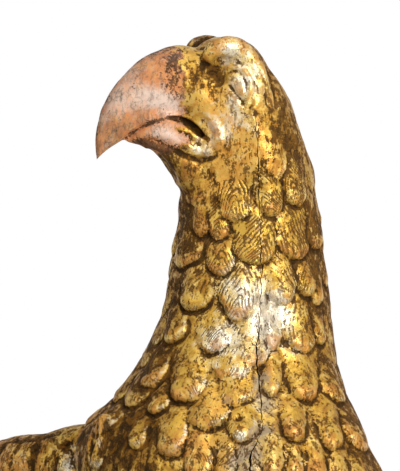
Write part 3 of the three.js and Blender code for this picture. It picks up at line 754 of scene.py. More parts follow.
def gildedPaint(name, darker=0.0):
    paint = Paint(bpy.data.materials.new(name))
    where = paint.place()
    masks = []
    for key, (size, detail, rough, distortion, low, high) in grains.items():
        spot = paint.place(**grainPlaces[key]) if key in grainPlaces else where
        masks.append(paint.noise(spot, size, detail, rough, distortion).step(low, high))
    broad, patch, fine, grit, hue, streak = masks
    hollow, worn, shade, rub = [paint.attribute(n) for n in ("hollow", "worn", "shade", "rub")]
    barbs, phase, tone, warm = [paint.attribute(n) for n in ("barbs", "phase", "tone", "warm")]
    # cut barbs, broken up and of uneven depth
    wave = (phase + fine.swing(0.2) + grit.swing(0.14)) * (2 * math.pi)
    keep = barbs * 0.85 + streak.swing(0.9) + patch.swing(0.6) + fine.swing(1.3) + grit.swing(0.5) - 0.5
    groove = (0.5 - wave.sine() * 0.5) * keep.step(-0.03, 0.2)
    line = groove.step(0.58, 0.95) * (0.95 - worn * 0.3)
    # dark toning: thick in the hollows, broken elsewhere, with painted shade added where the shade attribute
    # lies
    toningAndShade = hollow * (0.3 + fine * 0.3 + patch * 0.15)
    toningAndShade = toningAndShade + patch.swing(0.36) + fine.swing(0.42) + streak.swing(0.36)
    toningAndShade = toningAndShade + broad.swing(0.22) + grit.swing(0.28) + tone.swing(0.16) + (0.18 + darker)
    toningAndShade = toningAndShade + shade * (0.75 - worn * 0.6) - rub * 0.45 - worn * 0.2 - warm * 0.2
    glazeAndShade = toningAndShade.step(-0.05, 0.5)
    speck = streak * 0.5 + grit * 0.5 + patch.swing(0.2) + hollow * 0.1 + shade * 0.12
    speck = speck.step(0.64, 0.72) * (1 - rub * 0.5)
    dark = toningAndShade.step(0.45, 0.55).maths("MAXIMUM", line).maths("MAXIMUM", speck * 0.85)
    # leaf: yellow to pale, honey and amber under the brown toning and painted shade, silvery where it is rubbed
    # and where a highlight is painted
    bright = (patch * 0.45 + hue * 0.35 + tone.swing(0.3) + rub * 0.75 - 0.28).held()
    gold = paint.mix(bright, gilding["gold"], gilding["pale"])
    gold = paint.mix((warm * (0.3 + (1 - hue) * 0.9)).held(), gold, gilding["honey"])
    gold = paint.mix((glazeAndShade * 0.5 + (1 - hue) * 0.6 - rub * 0.5 - 0.2).held(), gold, gilding["amber"])
    silvery = (rub * 1.3 + fine.swing(0.7) + hue.swing(0.5) - 0.35).held()
    gold = paint.mix(silvery * 0.95, gold, gilding["silver"])
    # red clay on the worn edges, grey haze, and a brown layer over it that is partly toning and partly painted
    # shade, soft in the hollows and on the shaded sides
    clay = worn * 0.6 + broad.swing(0.5) + hue.swing(-0.5) - 0.2 + paint.attribute("clay") * 0.9
    clay = clay.step(0.1, 0.6)
    colour = paint.mix(clay * 0.7, gold, gilding["clay"])
    haze = hollow * 0.2 + (0.5 - hue) * 0.5 - 0.25 + paint.attribute("haze") * 0.9 + rub * 0.35
    haze = haze.step(0.1, 0.7)
    colour = paint.mix(haze * 0.8, colour, gilding["haze"])
    veilAndShade = hollow * 0.5 + shade * (0.75 - worn * 0.7) - rub * 0.4 - warm * 0.4 + (0.5 - hue) * 0.35
    veilAndShade = veilAndShade.held()
    colour = paint.mix(veilAndShade, colour, gilding["brown"])
    thin = (grit * 0.6 + fine * 0.4 - hollow * 0.3 - shade * 0.4).held()
    toning = paint.mix(thin, gilding["dark"], gilding["brown"])
    rusty = (hue * 1.3 + streak * 0.5 - 0.8).held() * (shade * 1.2).held()
    toning = paint.mix(rusty * 0.7, toning, gilding["amber"])
    colour = paint.mix(dark * 0.94, colour, toning)
    leaf = (1 - dark * 0.9).held() * (1 - clay * 0.5) * (1 - haze * 0.7) * (1 - veilAndShade * 0.4)
    relief = groove * -0.6 + patch * 0.16 + fine * 0.16 + grit * 0.05 - dark * 0.12
    roughness = gilding["roughness"] + dark * 0.26 + veilAndShade * 0.2 + haze * 0.12 + fine.swing(0.1) - rub * 0.08
    bole, bare = rubbedBeak(paint, broad, patch, fine, grit, hue, streak, speck)
    return paint.finish({
        "Base Color": paint.mix(bole, colour, bare),
        "Metallic": leaf * (1 - bole) * gilding["metallic"],
        "Roughness": roughness - bole * 0.04,
        "Coat Weight": (0.14 - dark * 0.14 - shade * 0.3 + rub * 0.12 + bole * 0.2).held(),
        "Coat Roughness": gilding["coatRoughness"],
        "IOR": gilding["refraction"],
        "Normal": paint.bump(relief, gilding["reliefStrength"], gilding["reliefDepth"]),
    })


# Body: the tables of the planks inside, which the carving follows
body = {
    "height": 700.0,
    "trunkRadius": 100.0,
    "neckRadius": 40.0,
    "neckY": -25.0,
    "headHeight": 90.0,
    "ground": 1.6,  # carved ground below the planks' skin
    "breastGround": 3.8,  # further below it at the breast, under the highest feathers
    "breastEnd": (440.0, 500.0),  # heights where that ends
    "front": -110.7,  # no carving stands further forward
}
# Height share, then in shares of the trunk's radius: its axis, and its reach at eight sides
trunkRows = [
    [0.279, 0.48, 0.3, 0.28, 0.26, 0.32, 0.36, 0.32, 0.26, 0.28],
    [0.307, 0.38, 0.6, 0.53, 0.5, 0.53, 0.58, 0.53, 0.5, 0.53],
    [0.357, 0.24, 0.82, 0.71, 0.66, 0.68, 0.68, 0.68, 0.66, 0.71],
    [0.429, 0.08, 0.94, 0.86, 0.82, 0.8, 0.76, 0.8, 0.82, 0.86],
    [0.5, -0.05, 0.98, 0.95, 0.93, 0.86, 0.8, 0.86, 0.93, 0.95],
    [0.571, -0.15, 0.95, 0.94, 0.96, 0.84, 0.8, 0.84, 0.96, 0.94],
    [0.636, -0.22, 0.89, 0.9, 0.92, 0.75, 0.7, 0.77, 0.92, 0.91],
    [0.657, -0.24, 0.86, 0.89, 0.88, 0.7, 0.66, 0.72, 0.9, 0.97],
    [0.689, -0.25, 0.79, 0.81, 0.78, 0.62, 0.61, 0.66, 0.82, 0.92],
    [0.713, -0.25, 0.7, 0.68, 0.66, 0.56, 0.56, 0.58, 0.7, 0.75],
    [0.733, -0.25, 0.62, 0.58, 0.57, 0.52, 0.52, 0.53, 0.6, 0.65],
    [0.753, -0.25, 0.55, 0.52, 0.51, 0.49, 0.49, 0.49, 0.53, 0.57],
]
# Height share between trunk and head, then the reach in shares of the neck's radius
neckRows = [
    [0.16, 1.22, 1.18, 1.18, 1.19, 1.18, 1.15, 1.2, 1.28],
    [0.33, 1.13, 1.1, 1.1, 1.15, 1.15, 1.1, 1.1, 1.15],
    [0.49, 1.1, 1.07, 1.07, 1.11, 1.1, 1.07, 1.07, 1.12],
    [0.66, 1.04, 1.02, 1.02, 1.07, 1.06, 1.02, 1.02, 1.05],
    [0.83, 0.98, 0.97, 0.97, 1.04, 1.03, 0.97, 0.97, 0.98],
    [0.985, 0.99, 0.96, 0.96, 0.99, 0.99, 0.96, 0.96, 0.99],
    [1.115, 0.9, 0.84, 0.84, 0.9, 0.9, 0.84, 0.84, 0.9],
]


def bodyRings(low, high, inset):
    scale = [body["height"]] + [body["trunkRadius"]] * 9
    rows = [np.array(r) * scale for r in trunkRows]
    top, under = rows[-1][0], body["height"] - body["headHeight"]
    for r in neckRows:
        z = top + (under - top) * r[0]
        rows.append([z, body["neckY"], *(np.array(r[1:]) * body["neckRadius"])])
    fine = catmull(rows, 8)
    fine = fine[(fine[:, 0] >= low) & (fine[:, 0] <= high)]
    angle = np.arange(8) / 8 * 2 * math.pi - math.pi / 2
    front = np.array([1, 0.5, 0, 0, 0, 0, 0, 0.5])
    rings = []
    for row in fine:
        deeper = body["breastGround"] * front * (1 - ramp(row[0], *body["breastEnd"]))
        radii = row[2:] - inset - deeper
        x, y = radii * np.cos(angle), row[1] + radii * np.sin(angle)
        rings.append(catmull(np.stack([x, y, np.full(8, row[0])], 1), 12, closed=True))
    return np.array(rings)


# Head: lengths in millimetres, tables in shares of them
head = {
    "turn": 28.0,
    "halfWidth": 38.0,
    "beakReach": 88.0,
    "upperHalf": 19.0,
    "lowerHalf": 17.0,
    "browRadius": 6.0,
    "cheek": (26.0, 9.0, 33.0),  # forward, left and drop of its middle
    "cheekRadii": (16.0, 13.0, 20.0),
    "neckRange": (430.0, 622.0),
    "featherRange": 395.0,  # feathers with lower tips leave the head alone
    "neckCut": 445.25,
    "beakRoot": 38.0,  # in front of the neck's axis
    "beakFloor": 622.0,
    "grain": 0.92,
    "quickGrain": 1.5,
}
# Drop, then middle, half length and half width
skullRows = [
    [1.0, 0.01, 0.99, 0.97],
    [0.83, 0.04, 0.985, 0.98],
    [0.7, 0.1, 0.94, 0.96],
    [0.6, 0.14, 0.9, 0.95],
    [0.5, 0.18, 0.85, 0.93],
    [0.4, 0.21, 0.79, 0.9],
    [0.28, 0.27, 0.68, 0.83],
    [0.2, 0.32, 0.585, 0.76],
    [0.13, 0.34, 0.51, 0.69],
    [0.07, 0.35, 0.4, 0.56],
    [0.03, 0.36, 0.25, 0.36],
    [0.012, 0.37, 0.11, 0.16],
]
# Forward, sideways, drop and thickness
browRows = [
    [0.76, 0.45, 0.16, 0.6],
    [0.66, 0.48, 0.095, 0.95],
    [0.5, 0.52, 0.065, 1.02],
    [0.32, 0.56, 0.08, 0.96],
    [0.16, 0.64, 0.15, 0.88],
    [0.06, 0.72, 0.24, 0.8],
    [0.03, 0.78, 0.34, 0.6],
]
# Forward and drop of the upper edge, then of the lower edge, and half width
upperBeakRows = [
    [0.23, 0.11, 0.23, 0.58, 0.95],
    [0.386, 0.072, 0.341, 0.6, 1.0],
    [0.491, 0.062, 0.5, 0.5, 0.92],
    [0.642, 0.116, 0.614, 0.506, 0.82],
    [0.74, 0.184, 0.688, 0.533, 0.71],
    [0.832, 0.268, 0.756, 0.583, 0.6],
    [0.899, 0.35, 0.801, 0.619, 0.5],
    [0.947, 0.446, 0.847, 0.65, 0.39],
    [0.984, 0.58, 0.903, 0.686, 0.26],
    [0.991, 0.665, 0.945, 0.719, 0.16],
    [0.99, 0.738, 0.975, 0.757, 0.08],
    [0.984, 0.775, 0.976, 0.785, 0.03],
]
lowerBeakRows = [
    [0.273, 0.61, 0.273, 0.978, 1.0],
    [0.364, 0.585, 0.409, 0.956, 1.0],
    [0.455, 0.552, 0.5, 0.86, 0.95],
    [0.523, 0.53, 0.545, 0.783, 0.86],
    [0.591, 0.522, 0.602, 0.728, 0.76],
    [0.67, 0.55, 0.67, 0.678, 0.6],
    [0.744, 0.6, 0.733, 0.652, 0.42],
    [0.795, 0.634, 0.793, 0.645, 0.12],
]
# What fills the beak between its halves
coreRows = [
    [0.27, 0.4, 0.27, 0.8, 1.06],
    [0.42, 0.42, 0.42, 0.76, 1.02],
    [0.52, 0.42, 0.52, 0.7, 0.94],
    [0.62, 0.42, 0.62, 0.66, 0.84],
    [0.7, 0.44, 0.69, 0.66, 0.66],
    [0.77, 0.5, 0.75, 0.655, 0.4],
]
neckAxis = np.array([0.0, body["neckY"], 0.0])
headTurn = math.radians(-head["turn"])
headLeft = np.array([math.cos(headTurn), math.sin(headTurn), 0.0])
headForward = np.array([math.sin(headTurn), -math.cos(headTurn), 0.0])


def headPoint(forward, left, drop):
    forward, left, drop = np.broadcast_arrays(*[np.asarray(v, float) for v in (forward, left, drop)])
    flat = neckAxis + forward[..., None] * headForward + left[..., None] * headLeft
    return flat + np.stack([0 * drop, 0 * drop, body["height"] - drop], -1)


def mirrored(points):
    points = np.asarray(points)
    left = (points - neckAxis) @ headLeft
    return points - 2 * left[..., None] * headLeft


def skullPiece():
    angle = np.linspace(0, 2 * math.pi, 96, endpoint=False)
    taper = 1 - 0.35 * np.maximum(0, np.cos(angle))
    rings = []
    for drop, centre, length, width in catmull(skullRows, 6):
        forward = (centre + length * np.cos(angle)) * head["halfWidth"]
        left = width * head["halfWidth"] * np.sin(angle) * taper
        rings.append(headPoint(forward, left, drop * body["headHeight"]))
    return loftPiece("skull", rings)


def beakPiece(name, rows, halfWidth):
    angle = np.linspace(0, 2 * math.pi, 64, endpoint=False)
    high = (1 + np.cos(angle)) / 2
    side = np.sign(np.sin(angle)) * np.abs(np.sin(angle)) ** 0.9
    rings = []
    for topForward, topDrop, lowForward, lowDrop, width in catmull(rows, 8):
        forward = (lowForward + (topForward - lowForward) * high) * head["beakReach"]
        drop = (lowDrop + (topDrop - lowDrop) * high) * body["headHeight"]
        rings.append(headPoint(forward, width * halfWidth * side, drop))
    return loftPiece(name, rings)


def browPiece(side):
    path = []
    for forward, left, drop, _ in browRows:
        forward, left = forward * head["halfWidth"], side * left * head["halfWidth"]
        path.append(headPoint(forward, left, drop * body["headHeight"]))
    return limbPiece("brow", path, np.array([r[3] for r in browRows]) * head["browRadius"])


def cheekPiece(side):
    # the cheek runs smoothly into the beak
    forward, left, drop = head["cheek"]
    cheek = ballPiece("cheek", (0, 0, 0), head["cheekRadii"])
    points = readPoints(cheek)
    points = headPoint(forward + points[:, 0], side * left + points[:, 1], drop - points[:, 2])
    writePoints(cheek, points)
    return cheek


def headBase(grain):
    parts = [
        loftPiece("neck", bodyRings(*head["neckRange"], body["ground"])),
        skullPiece(),
        beakPiece("core", coreRows, head["lowerHalf"]),
        beakPiece("upper", upperBeakRows, head["upperHalf"]),
        beakPiece("lower", lowerBeakRows, head["lowerHalf"]),
    ]
    for side in (1, -1):
        parts += [browPiece(side), cheekPiece(side)]
    whole = melted("head", parts, grain)
    smoothed(whole, 16)
    for tool in mouthTools(whole):
        cutBy(whole, tool)
    applied(whole, "REMESH", mode="VOXEL", voxel_size=grain * mm, adaptivity=0.0)
    return whole


mouth = {"deepest": 7.5, "leastDeep": 0.8, "deeper": 2.2, "outside": 6.0, "rise": 0.5, "lowShare": 0.45}
# The slit of the mouth in the picture: along, upper edge, lower edge
slitRows = [
    (155, 119.4, 120.0), (160, 118.4, 120.2), (166, 117.2, 120.4), (173, 116.4, 121.4),
    (180, 116.6, 123.6), (187, 118.4, 127.4), (193, 121.2, 131.8), (199, 125.8, 136.2),
    (204, 131.2, 139.8), (208, 137, 142), (210.5, 141, 142.6),
]


def mouthTools(whole):
    # a wedge that cuts the slit on each side, deepest under its upper edge
    lift = np.array([0, 0, mouth["rise"]])
    outwards = backward * mouth["outside"]
    rings = []
    for px, high, low in slitRows:
        top, bottom = onPhoto(whole, px, high)[0], onPhoto(whole, px, low)[0]
        deep = min(mouth["deepest"], mouth["leastDeep"] + mouth["deeper"] * (low - high))
        innerTop = top - headLeft * deep + lift
        innerBottom = bottom - headLeft * deep * mouth["lowShare"] + lift
        rings.append([top + outwards, bottom + outwards, innerBottom, innerTop])
    rings = np.array(rings)
    return loftPiece("slit", rings), loftPiece("slit", mirrored(rings))


# Strokes on the near side: points of the picture, radius and height in millimetres, fading ends;
# each is repeated on the far side of the head.
faceStrokes = [
    # brow and temple
    (
        [(206, 57), (213, 48), (225, 45), (237, 49), (247, 59), (254, 73), (258, 90), (259, 108)],
        5.0, 0.4, 0.2,
    ),
    ([(205, 63), (215, 60), (227, 58.5), (237, 61.5), (245, 67)], 2.3, -0.9, 0.25),
    # socket in front of the eye
    ([(206, 69), (213, 73), (221, 78)], 4.4, -1.2, 0.0),
    # eye, upper lid, lower lid
    ([(231, 79), (237, 84), (242, 92)], 3.4, 1.5, 0.0),
    (
        [(224, 70), (230, 67), (237, 67), (245, 71.5), (250, 81), (250.5, 92), (247, 106)],
        1.5, 1.1, 0.15,
    ),
    ([(226, 74.5), (232, 71), (238, 71), (243.5, 76), (246.5, 85), (246, 96)], 0.95, -1.1, 0.2),
    ([(228, 84), (234, 91.5), (240, 99), (246, 108)], 0.9, -1.3, 0.15),
    ([(225, 87), (231, 95), (238, 104), (243, 112)], 1.7, 0.6, 0.3),
    ([(253, 90), (251.5, 103), (247.5, 114)], 1.1, -0.7, 0.3),
    # cheek under the eye, with soft cuts that run back and down
    ([(213, 90), (224, 99), (235, 112)], 3.4, 0.5, 0.3),
    ([(206, 97), (216, 108), (226, 123)], 3.8, 0.5, 0.3),
    ([(219, 97), (228, 107), (235, 120)], 0.8, -0.35, 0.3),
    ([(212, 101), (221, 112), (229, 127)], 0.8, -0.3, 0.3),
    ([(236, 117), (240, 127), (242, 139)], 1.0, -0.3, 0.3),
    # corner of the mouth and the fold behind it
    ([(206, 110), (212, 118), (217, 128), (218.5, 139), (215, 149)], 2.7, 1.7, 0.25),
    ([(221, 118), (225, 129), (226, 141), (222, 153)], 1.9, -0.8, 0.3),
    # lip of the lower beak, the hollow under it and the line where the halves meet
    (
        [(137, 136), (148, 133.5), (160, 134), (172, 138), (184, 144), (196, 150), (207, 152.5), (213, 150)],
        2.4, 1.5, 0.1,
    ),
    (
        [(141, 139.5), (152, 141), (164, 145.5), (176, 151.5), (188, 157), (200, 160), (211, 158.5), (219, 154)],
        1.5, -1.7, 0.15,
    ),
    ([(160, 120), (151, 122.5), (141, 127.5), (131, 134), (124, 139)], 1.1, -1.7, 0.1),
    # grooves behind the temple
    ([(265, 66), (270, 77), (274, 91), (276, 112)], 0.95, -1.3, 0.2),
    ([(261, 64), (266, 77), (270, 92), (271.5, 112)], 1.6, 0.6, 0.2),
    ([(258, 62), (262.5, 76), (265.5, 92), (266, 108)], 1.0, -0.5, 0.25),
    # throat under the lower beak
    ([(150, 149), (160, 158), (170, 171), (178, 184)], 6.0, -1.6, 0.2),
    # long folds where the neck runs into the wing
    ([(113, 411), (105, 430), (100, 448), (95, 468)], 2.6, 2.4, 0.15),
    ([(100, 420), (95, 440), (89, 468)], 2.2, 2.0, 0.15),
    ([(107, 424), (101, 442), (94, 468)], 1.6, -1.4, 0.15),
    # nape behind the cheek
    ([(303, 146), (309, 164), (314, 182), (317, 200), (320, 218)], 8.0, -1.2, 0.2),
    # hole in the round knob low on the neck
    ([(239, 421)], 2.6, -2.8, 0.0),
    # hollow between brow and beak root
    ([(194, 49), (199, 57), (202, 66)], 2.6, -0.3, 0.2),
    ([(202, 50), (207, 60), (212, 69)], 3.6, 1.1, 0.1),
]


def faceCarving(whole, points):
    lines = []
    for line, radius, height, fade in faceStrokes:
        near = np.array([onPhoto(whole, px, py)[0] for px, py in line])
        lines += [(near, radius, height, fade), (mirrored(near), radius, height, fade)]
    return strokes(points, lines)


# Feathers of the neck in the picture: tip, left and right edge, top, height, barbs, puff
neckFeathers = [
    (276, 179, 259, 287, 136, 1.2, 0.1, 0.2),
    (271, 218, 254, 281, 180, 3.0, 1.0, 0.2),
    (296, 206, 283, 306, 168, 3.0, 1.0, 0.2),
    (203, 237, 190, 208, 205, 2.6, 0.1, 0.6),
    (234, 221, 215, 252, 194, 2.0, 1.0, 0.1),
    (218, 241, 205, 230, 212, 2.6, 1.0, 0.2),
    (255, 265, 231, 279, 220, 3.2, 1.0, 0.2),
    (295, 260, 277, 310, 218, 3.2, 1.0, 0.3),
    (315, 250, 302, 323, 212, 2.8, 0.9, 0.2),
    (221, 275, 205, 237, 241, 3.0, 1.0, 0.4),
    (236, 320, 222, 261, 264, 4.0, 1.0, 0.5),
    (284, 306, 262, 294, 254, 3.6, 0.7, 0.5),
    (306, 297, 289, 313, 258, 3.2, 0.8, 0.3),
    (316, 306, 308, 323, 268, 2.8, 0.2, 0.5),
    (191, 312, 182, 216, 270, 3.2, 0.6, 0.4),
    (186, 268, 174, 200, 228, 2.6, 0.6, 0.2),
    (216, 353, 195, 237, 318, 3.8, 0.3, 1.0),
    (175, 343, 164, 187, 306, 3.2, 0.3, 0.7),
    (231, 385, 215, 263, 328, 3.6, 0.35, 0.6),
    (271, 350, 261, 282, 320, 2.8, 0.1, 1.0),
    (303, 355, 281, 312, 303, 3.6, 0.6, 0.5),
    (318, 345, 309, 324, 306, 2.8, 0.3, 0.5),
    (186, 403, 171, 214, 352, 4.0, 0.3, 0.8),
    (153, 388, 143, 171, 354, 3.4, 0.2, 0.8),
    (157, 414, 148, 173, 390, 3.2, 0.1, 1.0),
    (271, 397, 261, 283, 352, 3.0, 0.2, 0.8),
    (305, 402, 283, 316, 350, 3.8, 0.3, 0.8),
    (334, 402, 319, 340, 364, 3.2, 0.3, 0.6),
    (209, 432, 189, 236, 384, 4.0, 0.3, 0.8),
    (240, 443, 224, 258, 408, 4.0, 0.2, 1.0),
    (174, 458, 157, 191, 412, 3.8, 0.2, 1.0),
    (139, 450, 128, 151, 416, 3.4, 0.1, 0.8),
    (140, 486, 127, 153, 446, 3.4, 0.1, 0.8),
    (294, 443, 277, 304, 395, 3.8, 0.2, 0.9),
    (330, 452, 311, 341, 400, 3.6, 0.3, 0.8),
    (354, 449, 339, 360, 405, 3.2, 0.3, 0.6),
    (200, 482, 184, 216, 430, 3.6, 0.5, 0.5),
    (227, 486, 216, 238, 436, 3.4, 0.5, 0.5),
    (271, 480, 257, 286, 430, 3.4, 0.3, 0.8),
    (294, 488, 284, 304, 440, 3.4, 0.3, 0.8),
    (314, 490, 302, 326, 436, 3.4, 0.3, 0.9),
    (336, 492, 324, 347, 444, 3.4, 0.3, 0.7),
    (360, 492, 346, 372, 446, 3.2, 0.3, 0.6),
    (195, 206, 181, 208, 172, 1.2, 0.1, 0.2),
]


def photoFeather(piece, values):
    px, py, left, right, top, height, barbs, puff = values
    middleX = (left + right) / 2
    tip, tipNormal = onPhoto(piece, px, py)
    root, _ = onPhoto(piece, middleX + (px - middleX) * 0.2, top)
    _, normal = onPhoto(piece, (left + right + px) / 3, (py + top) / 2)
    edges = [onPhoto(piece, x, py * 0.6 + top * 0.4)[0] for x in (left, right)]
    width = max(10.0, np.linalg.norm(edges[1] - edges[0]) * 1.02)
    length = np.linalg.norm(tip - root) * 1.3 + 3
    return Feather(tip, tip - root, normal + tipNormal, width, length, height, barbs, 2.0, puff)


def aroundRows(piece, rows, skip=(), seed=3, gap=13.0):
    # rows of feathers around an upright piece: height, axis, pitch across, length, height of cut,
    # barbs and puff; none is laid within the gap of those to skip
    away = 400
    dice = np.random.default_rng(seed)
    made = []
    for k, (z, axis, pitch, length, cut, barbs, puff) in enumerate(rows):
        probe, _ = onPiece(piece, (axis[0], axis[1] - away, z), (0, 1, 0))
        side, _ = onPiece(piece, (axis[0] + away, axis[1], z), (-1, 0, 0))
        if probe is None or side is None:
            continue
        girth = math.pi * (abs(probe[1] - axis[1]) + abs(side[0] - axis[0]))
        count = max(6, round(girth / pitch))
        for i in range(count):
            angle = (i + 0.5 * (k % 2) + dice.uniform(-0.1, 0.1)) / count * 2 * math.pi
            height = z + dice.uniform(-2.5, 2.5)
            way = np.array([math.cos(angle), math.sin(angle), 0.0])
            tip, normal = onPiece(piece, np.array([axis[0], axis[1], height]) + way * away, -way)
            if tip is None or any(np.linalg.norm(tip - other) < gap for other in skip):
                continue
            down = np.array([dice.uniform(-0.12, 0.12), dice.uniform(-0.12, 0.12), -1.0])
            width, long = pitch * dice.uniform(1.0, 1.22), length * dice.uniform(0.95, 1.15)
            high, point = cut * dice.uniform(0.85, 1.15), dice.uniform(1.8, 2.2)
            made.append(Feather(tip, down, normal, width, long, high, barbs, point, puff))
    return made


glueLine = {"front": 6.5, "ripple": 0.35, "shiver": 0.25, "bow": 2.6, "bowLength": 26.0, "least": 0.02}
# The open glue line's way up the neck: height, and how far it strays from its plane
crackPath = [
    (430, 0.0), (452, -2.5), (470, -4.2), (480, -3.0), (490, 2.8), (500, 2.2), (512, 0.6), (520, -0.8),
    (531, -1.6), (545, -0.4), (560, -0.2), (575, 0.4), (590, -0.4), (606, -1.2), (622, -1.8),
    (640, -2.2), (655, -3.6), (668, -4.2), (715, -4.0),
]
# Height and how wide it stands open
crackWidths = [
    (430, 1.3), (462, 1.1), (478, 1.3), (486, 0.4), (505, 0.8), (530, 1.1), (548, 0.4), (575, 0.7),
    (600, 0.4), (630, 0.7), (652, 0.5), (662, 0.0), (720, 0.0),
]


def alongTable(values, table):
    return np.interp(values, [row[0] for row in table], [row[1] for row in table])


def crackShift(u, z):
    # how far the line strays at a place across the neck and a height
    ripple = glueLine["ripple"] * np.sin(z * 0.55) + glueLine["shiver"] * np.sin(z * 1.3 + 1.0)
    return alongTable(z, crackPath) + ripple + glueLine["bow"] * np.cos(u / glueLine["bowLength"])


def crackWidth(z):
    return glueLine["least"] + alongTable(z, crackWidths) * (0.75 + 0.25 * np.sin(z * 0.9))


guide = {"range": (196.0, 622.0), "grain": 2.2}
# Rows of feathers that the picture doesn't show: first and last height, step, then the axis,
# pitch across, length, height of cut, barbs and puff
rowKinds = {
    "upperNeck": ((614, 525, -17.0), ((0.0, -25.0), 19.5, 34.0, 3.2, 0.7, 0.4)),
    "lowerNeck": ((520, 440, -20.0), ((0.0, -25.0), 23.0, 42.0, 3.6, 0.4, 0.7)),
    "trunk": ((438, 200, -23.5), ((0.0, -12.0), 27.0, 50.0, 3.6, 0.55, 0.6)),
}


def bodyGuide():
    # a coarse body, neck and head that the feathers are laid out on
    shapes = [loftPiece("trunk", bodyRings(*guide["range"], body["ground"])), skullPiece()]
    whole = melted("guide", shapes, guide["grain"])
    smoothed(whole, 6)
    return whole


def rowsOf(kind):
    heights, values = rowKinds[kind]
    return [(z, *values) for z in np.arange(*heights)]


def coatFeathers(whole):
    made = [photoFeather(whole, values) for values in neckFeathers]
    ring = aroundRows(whole, rowsOf("upperNeck") + rowsOf("lowerNeck"), [f.tip for f in made])
    for f in ring:
        # flatter at both sides of the picture, where the photo's outline is smooth
        sideways = float(f.normal @ rightward)
        low = float(ramp(-f.tip[2], -600, -560)) if sideways < 0 else 1.2
        f.height *= 1 - 0.6 * float(ramp(abs(sideways), 0.5, 0.9)) * low
    # the nape carries feathers higher up than the throat
    made += [f for f in ring if f.tip[2] < 590 or (f.tip - neckAxis) @ headForward < 0]
    lowTips = [f.tip for f in made if f.tip[2] < 470]
    return made + aroundRows(whole, rowsOf("trunk"), lowTips, seed=9)


def finishCarving(piece, points, normals, edges, lift, field, marks=None, extraShade=0.0):
    # pushes the surface out by the carving, and stores what the gilding needs to know
    barbCut = 0.1 * np.sin(field["phase"] * 2 * math.pi) * field["barbs"]
    lift = lift + field["height"] - 0.28 * field["dip"] + barbCut + 0.3 * field["rimAndHighlight"]
    points = relaxed(points + normals * lift[:, None], edges, 1, 0.35)
    points[:, 1] = np.maximum(points[:, 1], body["front"])
    writePoints(piece, points)
    fine, wide = hollows(points, readNormals(piece), edges)
    tip = (1 - ramp(field["along"], 3.0, 12.0)) * (field["height"] > 0.8)
    # how hollow each point lies: it darkens the gold both as toning and as painted shade
    hollow = ramp(fine, 0.015, 0.15) * 0.5 + ramp(wide, 0.06, 0.6) * 0.8
    worn = ramp(-fine, 0.02, 0.09) * 0.35 + ramp(-wide, 0.1, 0.5) * 0.5 + 0.45 * tip
    store(piece, "kept", np.ones(len(points)))
    store(piece, "hollow", np.clip(hollow, 0, 1))
    store(piece, "worn", np.clip(worn, 0, 1))
    store(piece, "bole", np.full(len(points), -1.0))
    for name in ("phase", "barbs", "tone"):
        store(piece, name, field[name])
    # painted shade, partly darker toning: darker where the surface turns to either side, away from the camera
    throat = ramp(-(normals @ rightward) - 0.25 * (normals @ backward), -0.15, 0.75)
    throat += 1.1 * ramp(normals @ rightward, 0.3, 0.9)
    # painted shade towards the sides and wherever extra shade is given, and painted highlights on the feather
    # tips' rims
    base = dict.fromkeys(("clay", "haze", "warm"), 0.0)
    base.update({"shade": 0.5 * throat + extraShade, "rub": 0.75 * field["rimAndHighlight"]})
    for name, value in base.items():
        value = value + spotValues(piece, points, (marks or {}).get(name, []))
        store(piece, name, np.clip(value, 0, 1))


# The ridge of the beak, darkened along its edge as painted shade, the line where its halves meet and its lower
# lip, in the picture
ridgeLine = [
    (166, 46), (152, 48), (138, 54), (124, 64), (113, 77), (105, 91), (100, 107), (97, 124), (96, 140),
]
meetingLine = [
    (176, 117.5), (168, 118.5), (160, 120), (151, 122.5), (141, 127.5), (131, 134), (125, 138.5),
]
lipLine = [(150, 131), (165, 131.5), (178, 136.5), (190, 143)]


def beakMarks(piece, points):
    # where the beak is rubbed bare, where a grey highlight is painted on, and where it is soiled or darkened as
    # painted shade
    away = points - neckAxis
    forward, left = away @ headForward, away @ headLeft
    above = ramp(away[:, 2] + 0.5 * (forward - 45), 632, 642)
    ridge, meeting, lip = [
        distanceToLine(points, np.array([onPhoto(piece, px, py)[0] for px, py in line]))[0]
        for line in (ridgeLine, meetingLine, lipLine)
    ]
    bare = 0.5 + (forward - 42.0 - 0.1 * np.abs(left)) / 9.0 + 0.7 * np.exp(-((lip / 3.5) ** 2))
    store(piece, "bole", np.clip(bare, -0.6, 1.4) * above - 0.6 * (1 - above))
    store(piece, "sheen", spotValues(piece, points, spots["sheen"]))
    # painted shade: a dark line along the ridge's edge and in the crease where the halves meet
    edges = 0.75 * np.exp(-((ridge / 1.5) ** 2)) + 1.2 * np.exp(-((meeting / 0.9) ** 2))
    store(piece, "soil", spotValues(piece, points, spots["soil"]) + edges)


# The closed mouth's line: place in front of the neck's axis, and height
mouthLine = [
    (20, 668), (36, 661), (44, 654.5), (54, 654.3), (60.5, 651.5), (66.5, 647), (70, 643.5), (72.5, 600),
    (95, 590),
]


def mouthHeight(u, v):
    # higher in the middle of the beak than at its edges
    return alongTable(u, mouthLine) + 3.2 * np.exp(-((v / 9.0) ** 2))


def beakFloor(u, v):
    return np.full_like(u, head["beakFloor"])


def splitBeak(whole):
    # splits the beak off the head, then its upper half off the lower one
    axes = (headForward, headLeft, np.array([0.0, 0.0, 1.0]))
    reach = ((head["beakRoot"], 140), (-60, 60))
    tool = sheetBlock("beakTool", neckAxis, axes, reach, (2, 2), beakFloor, 800)
    front = copyOf(whole, "front")
    rest = cutBy(whole, tool, keepTool=True)
    cutBy(front, tool, "INTERSECT")
    above = sheetBlock("mouth", neckAxis, axes, ((20, 110), (-60, 60)), (91, 41), mouthHeight, 800)
    below = copyOf(front, "below")
    cutBy(front, above, "INTERSECT", keepTool=True)
    cutBy(below, above)
    return rest, front, below


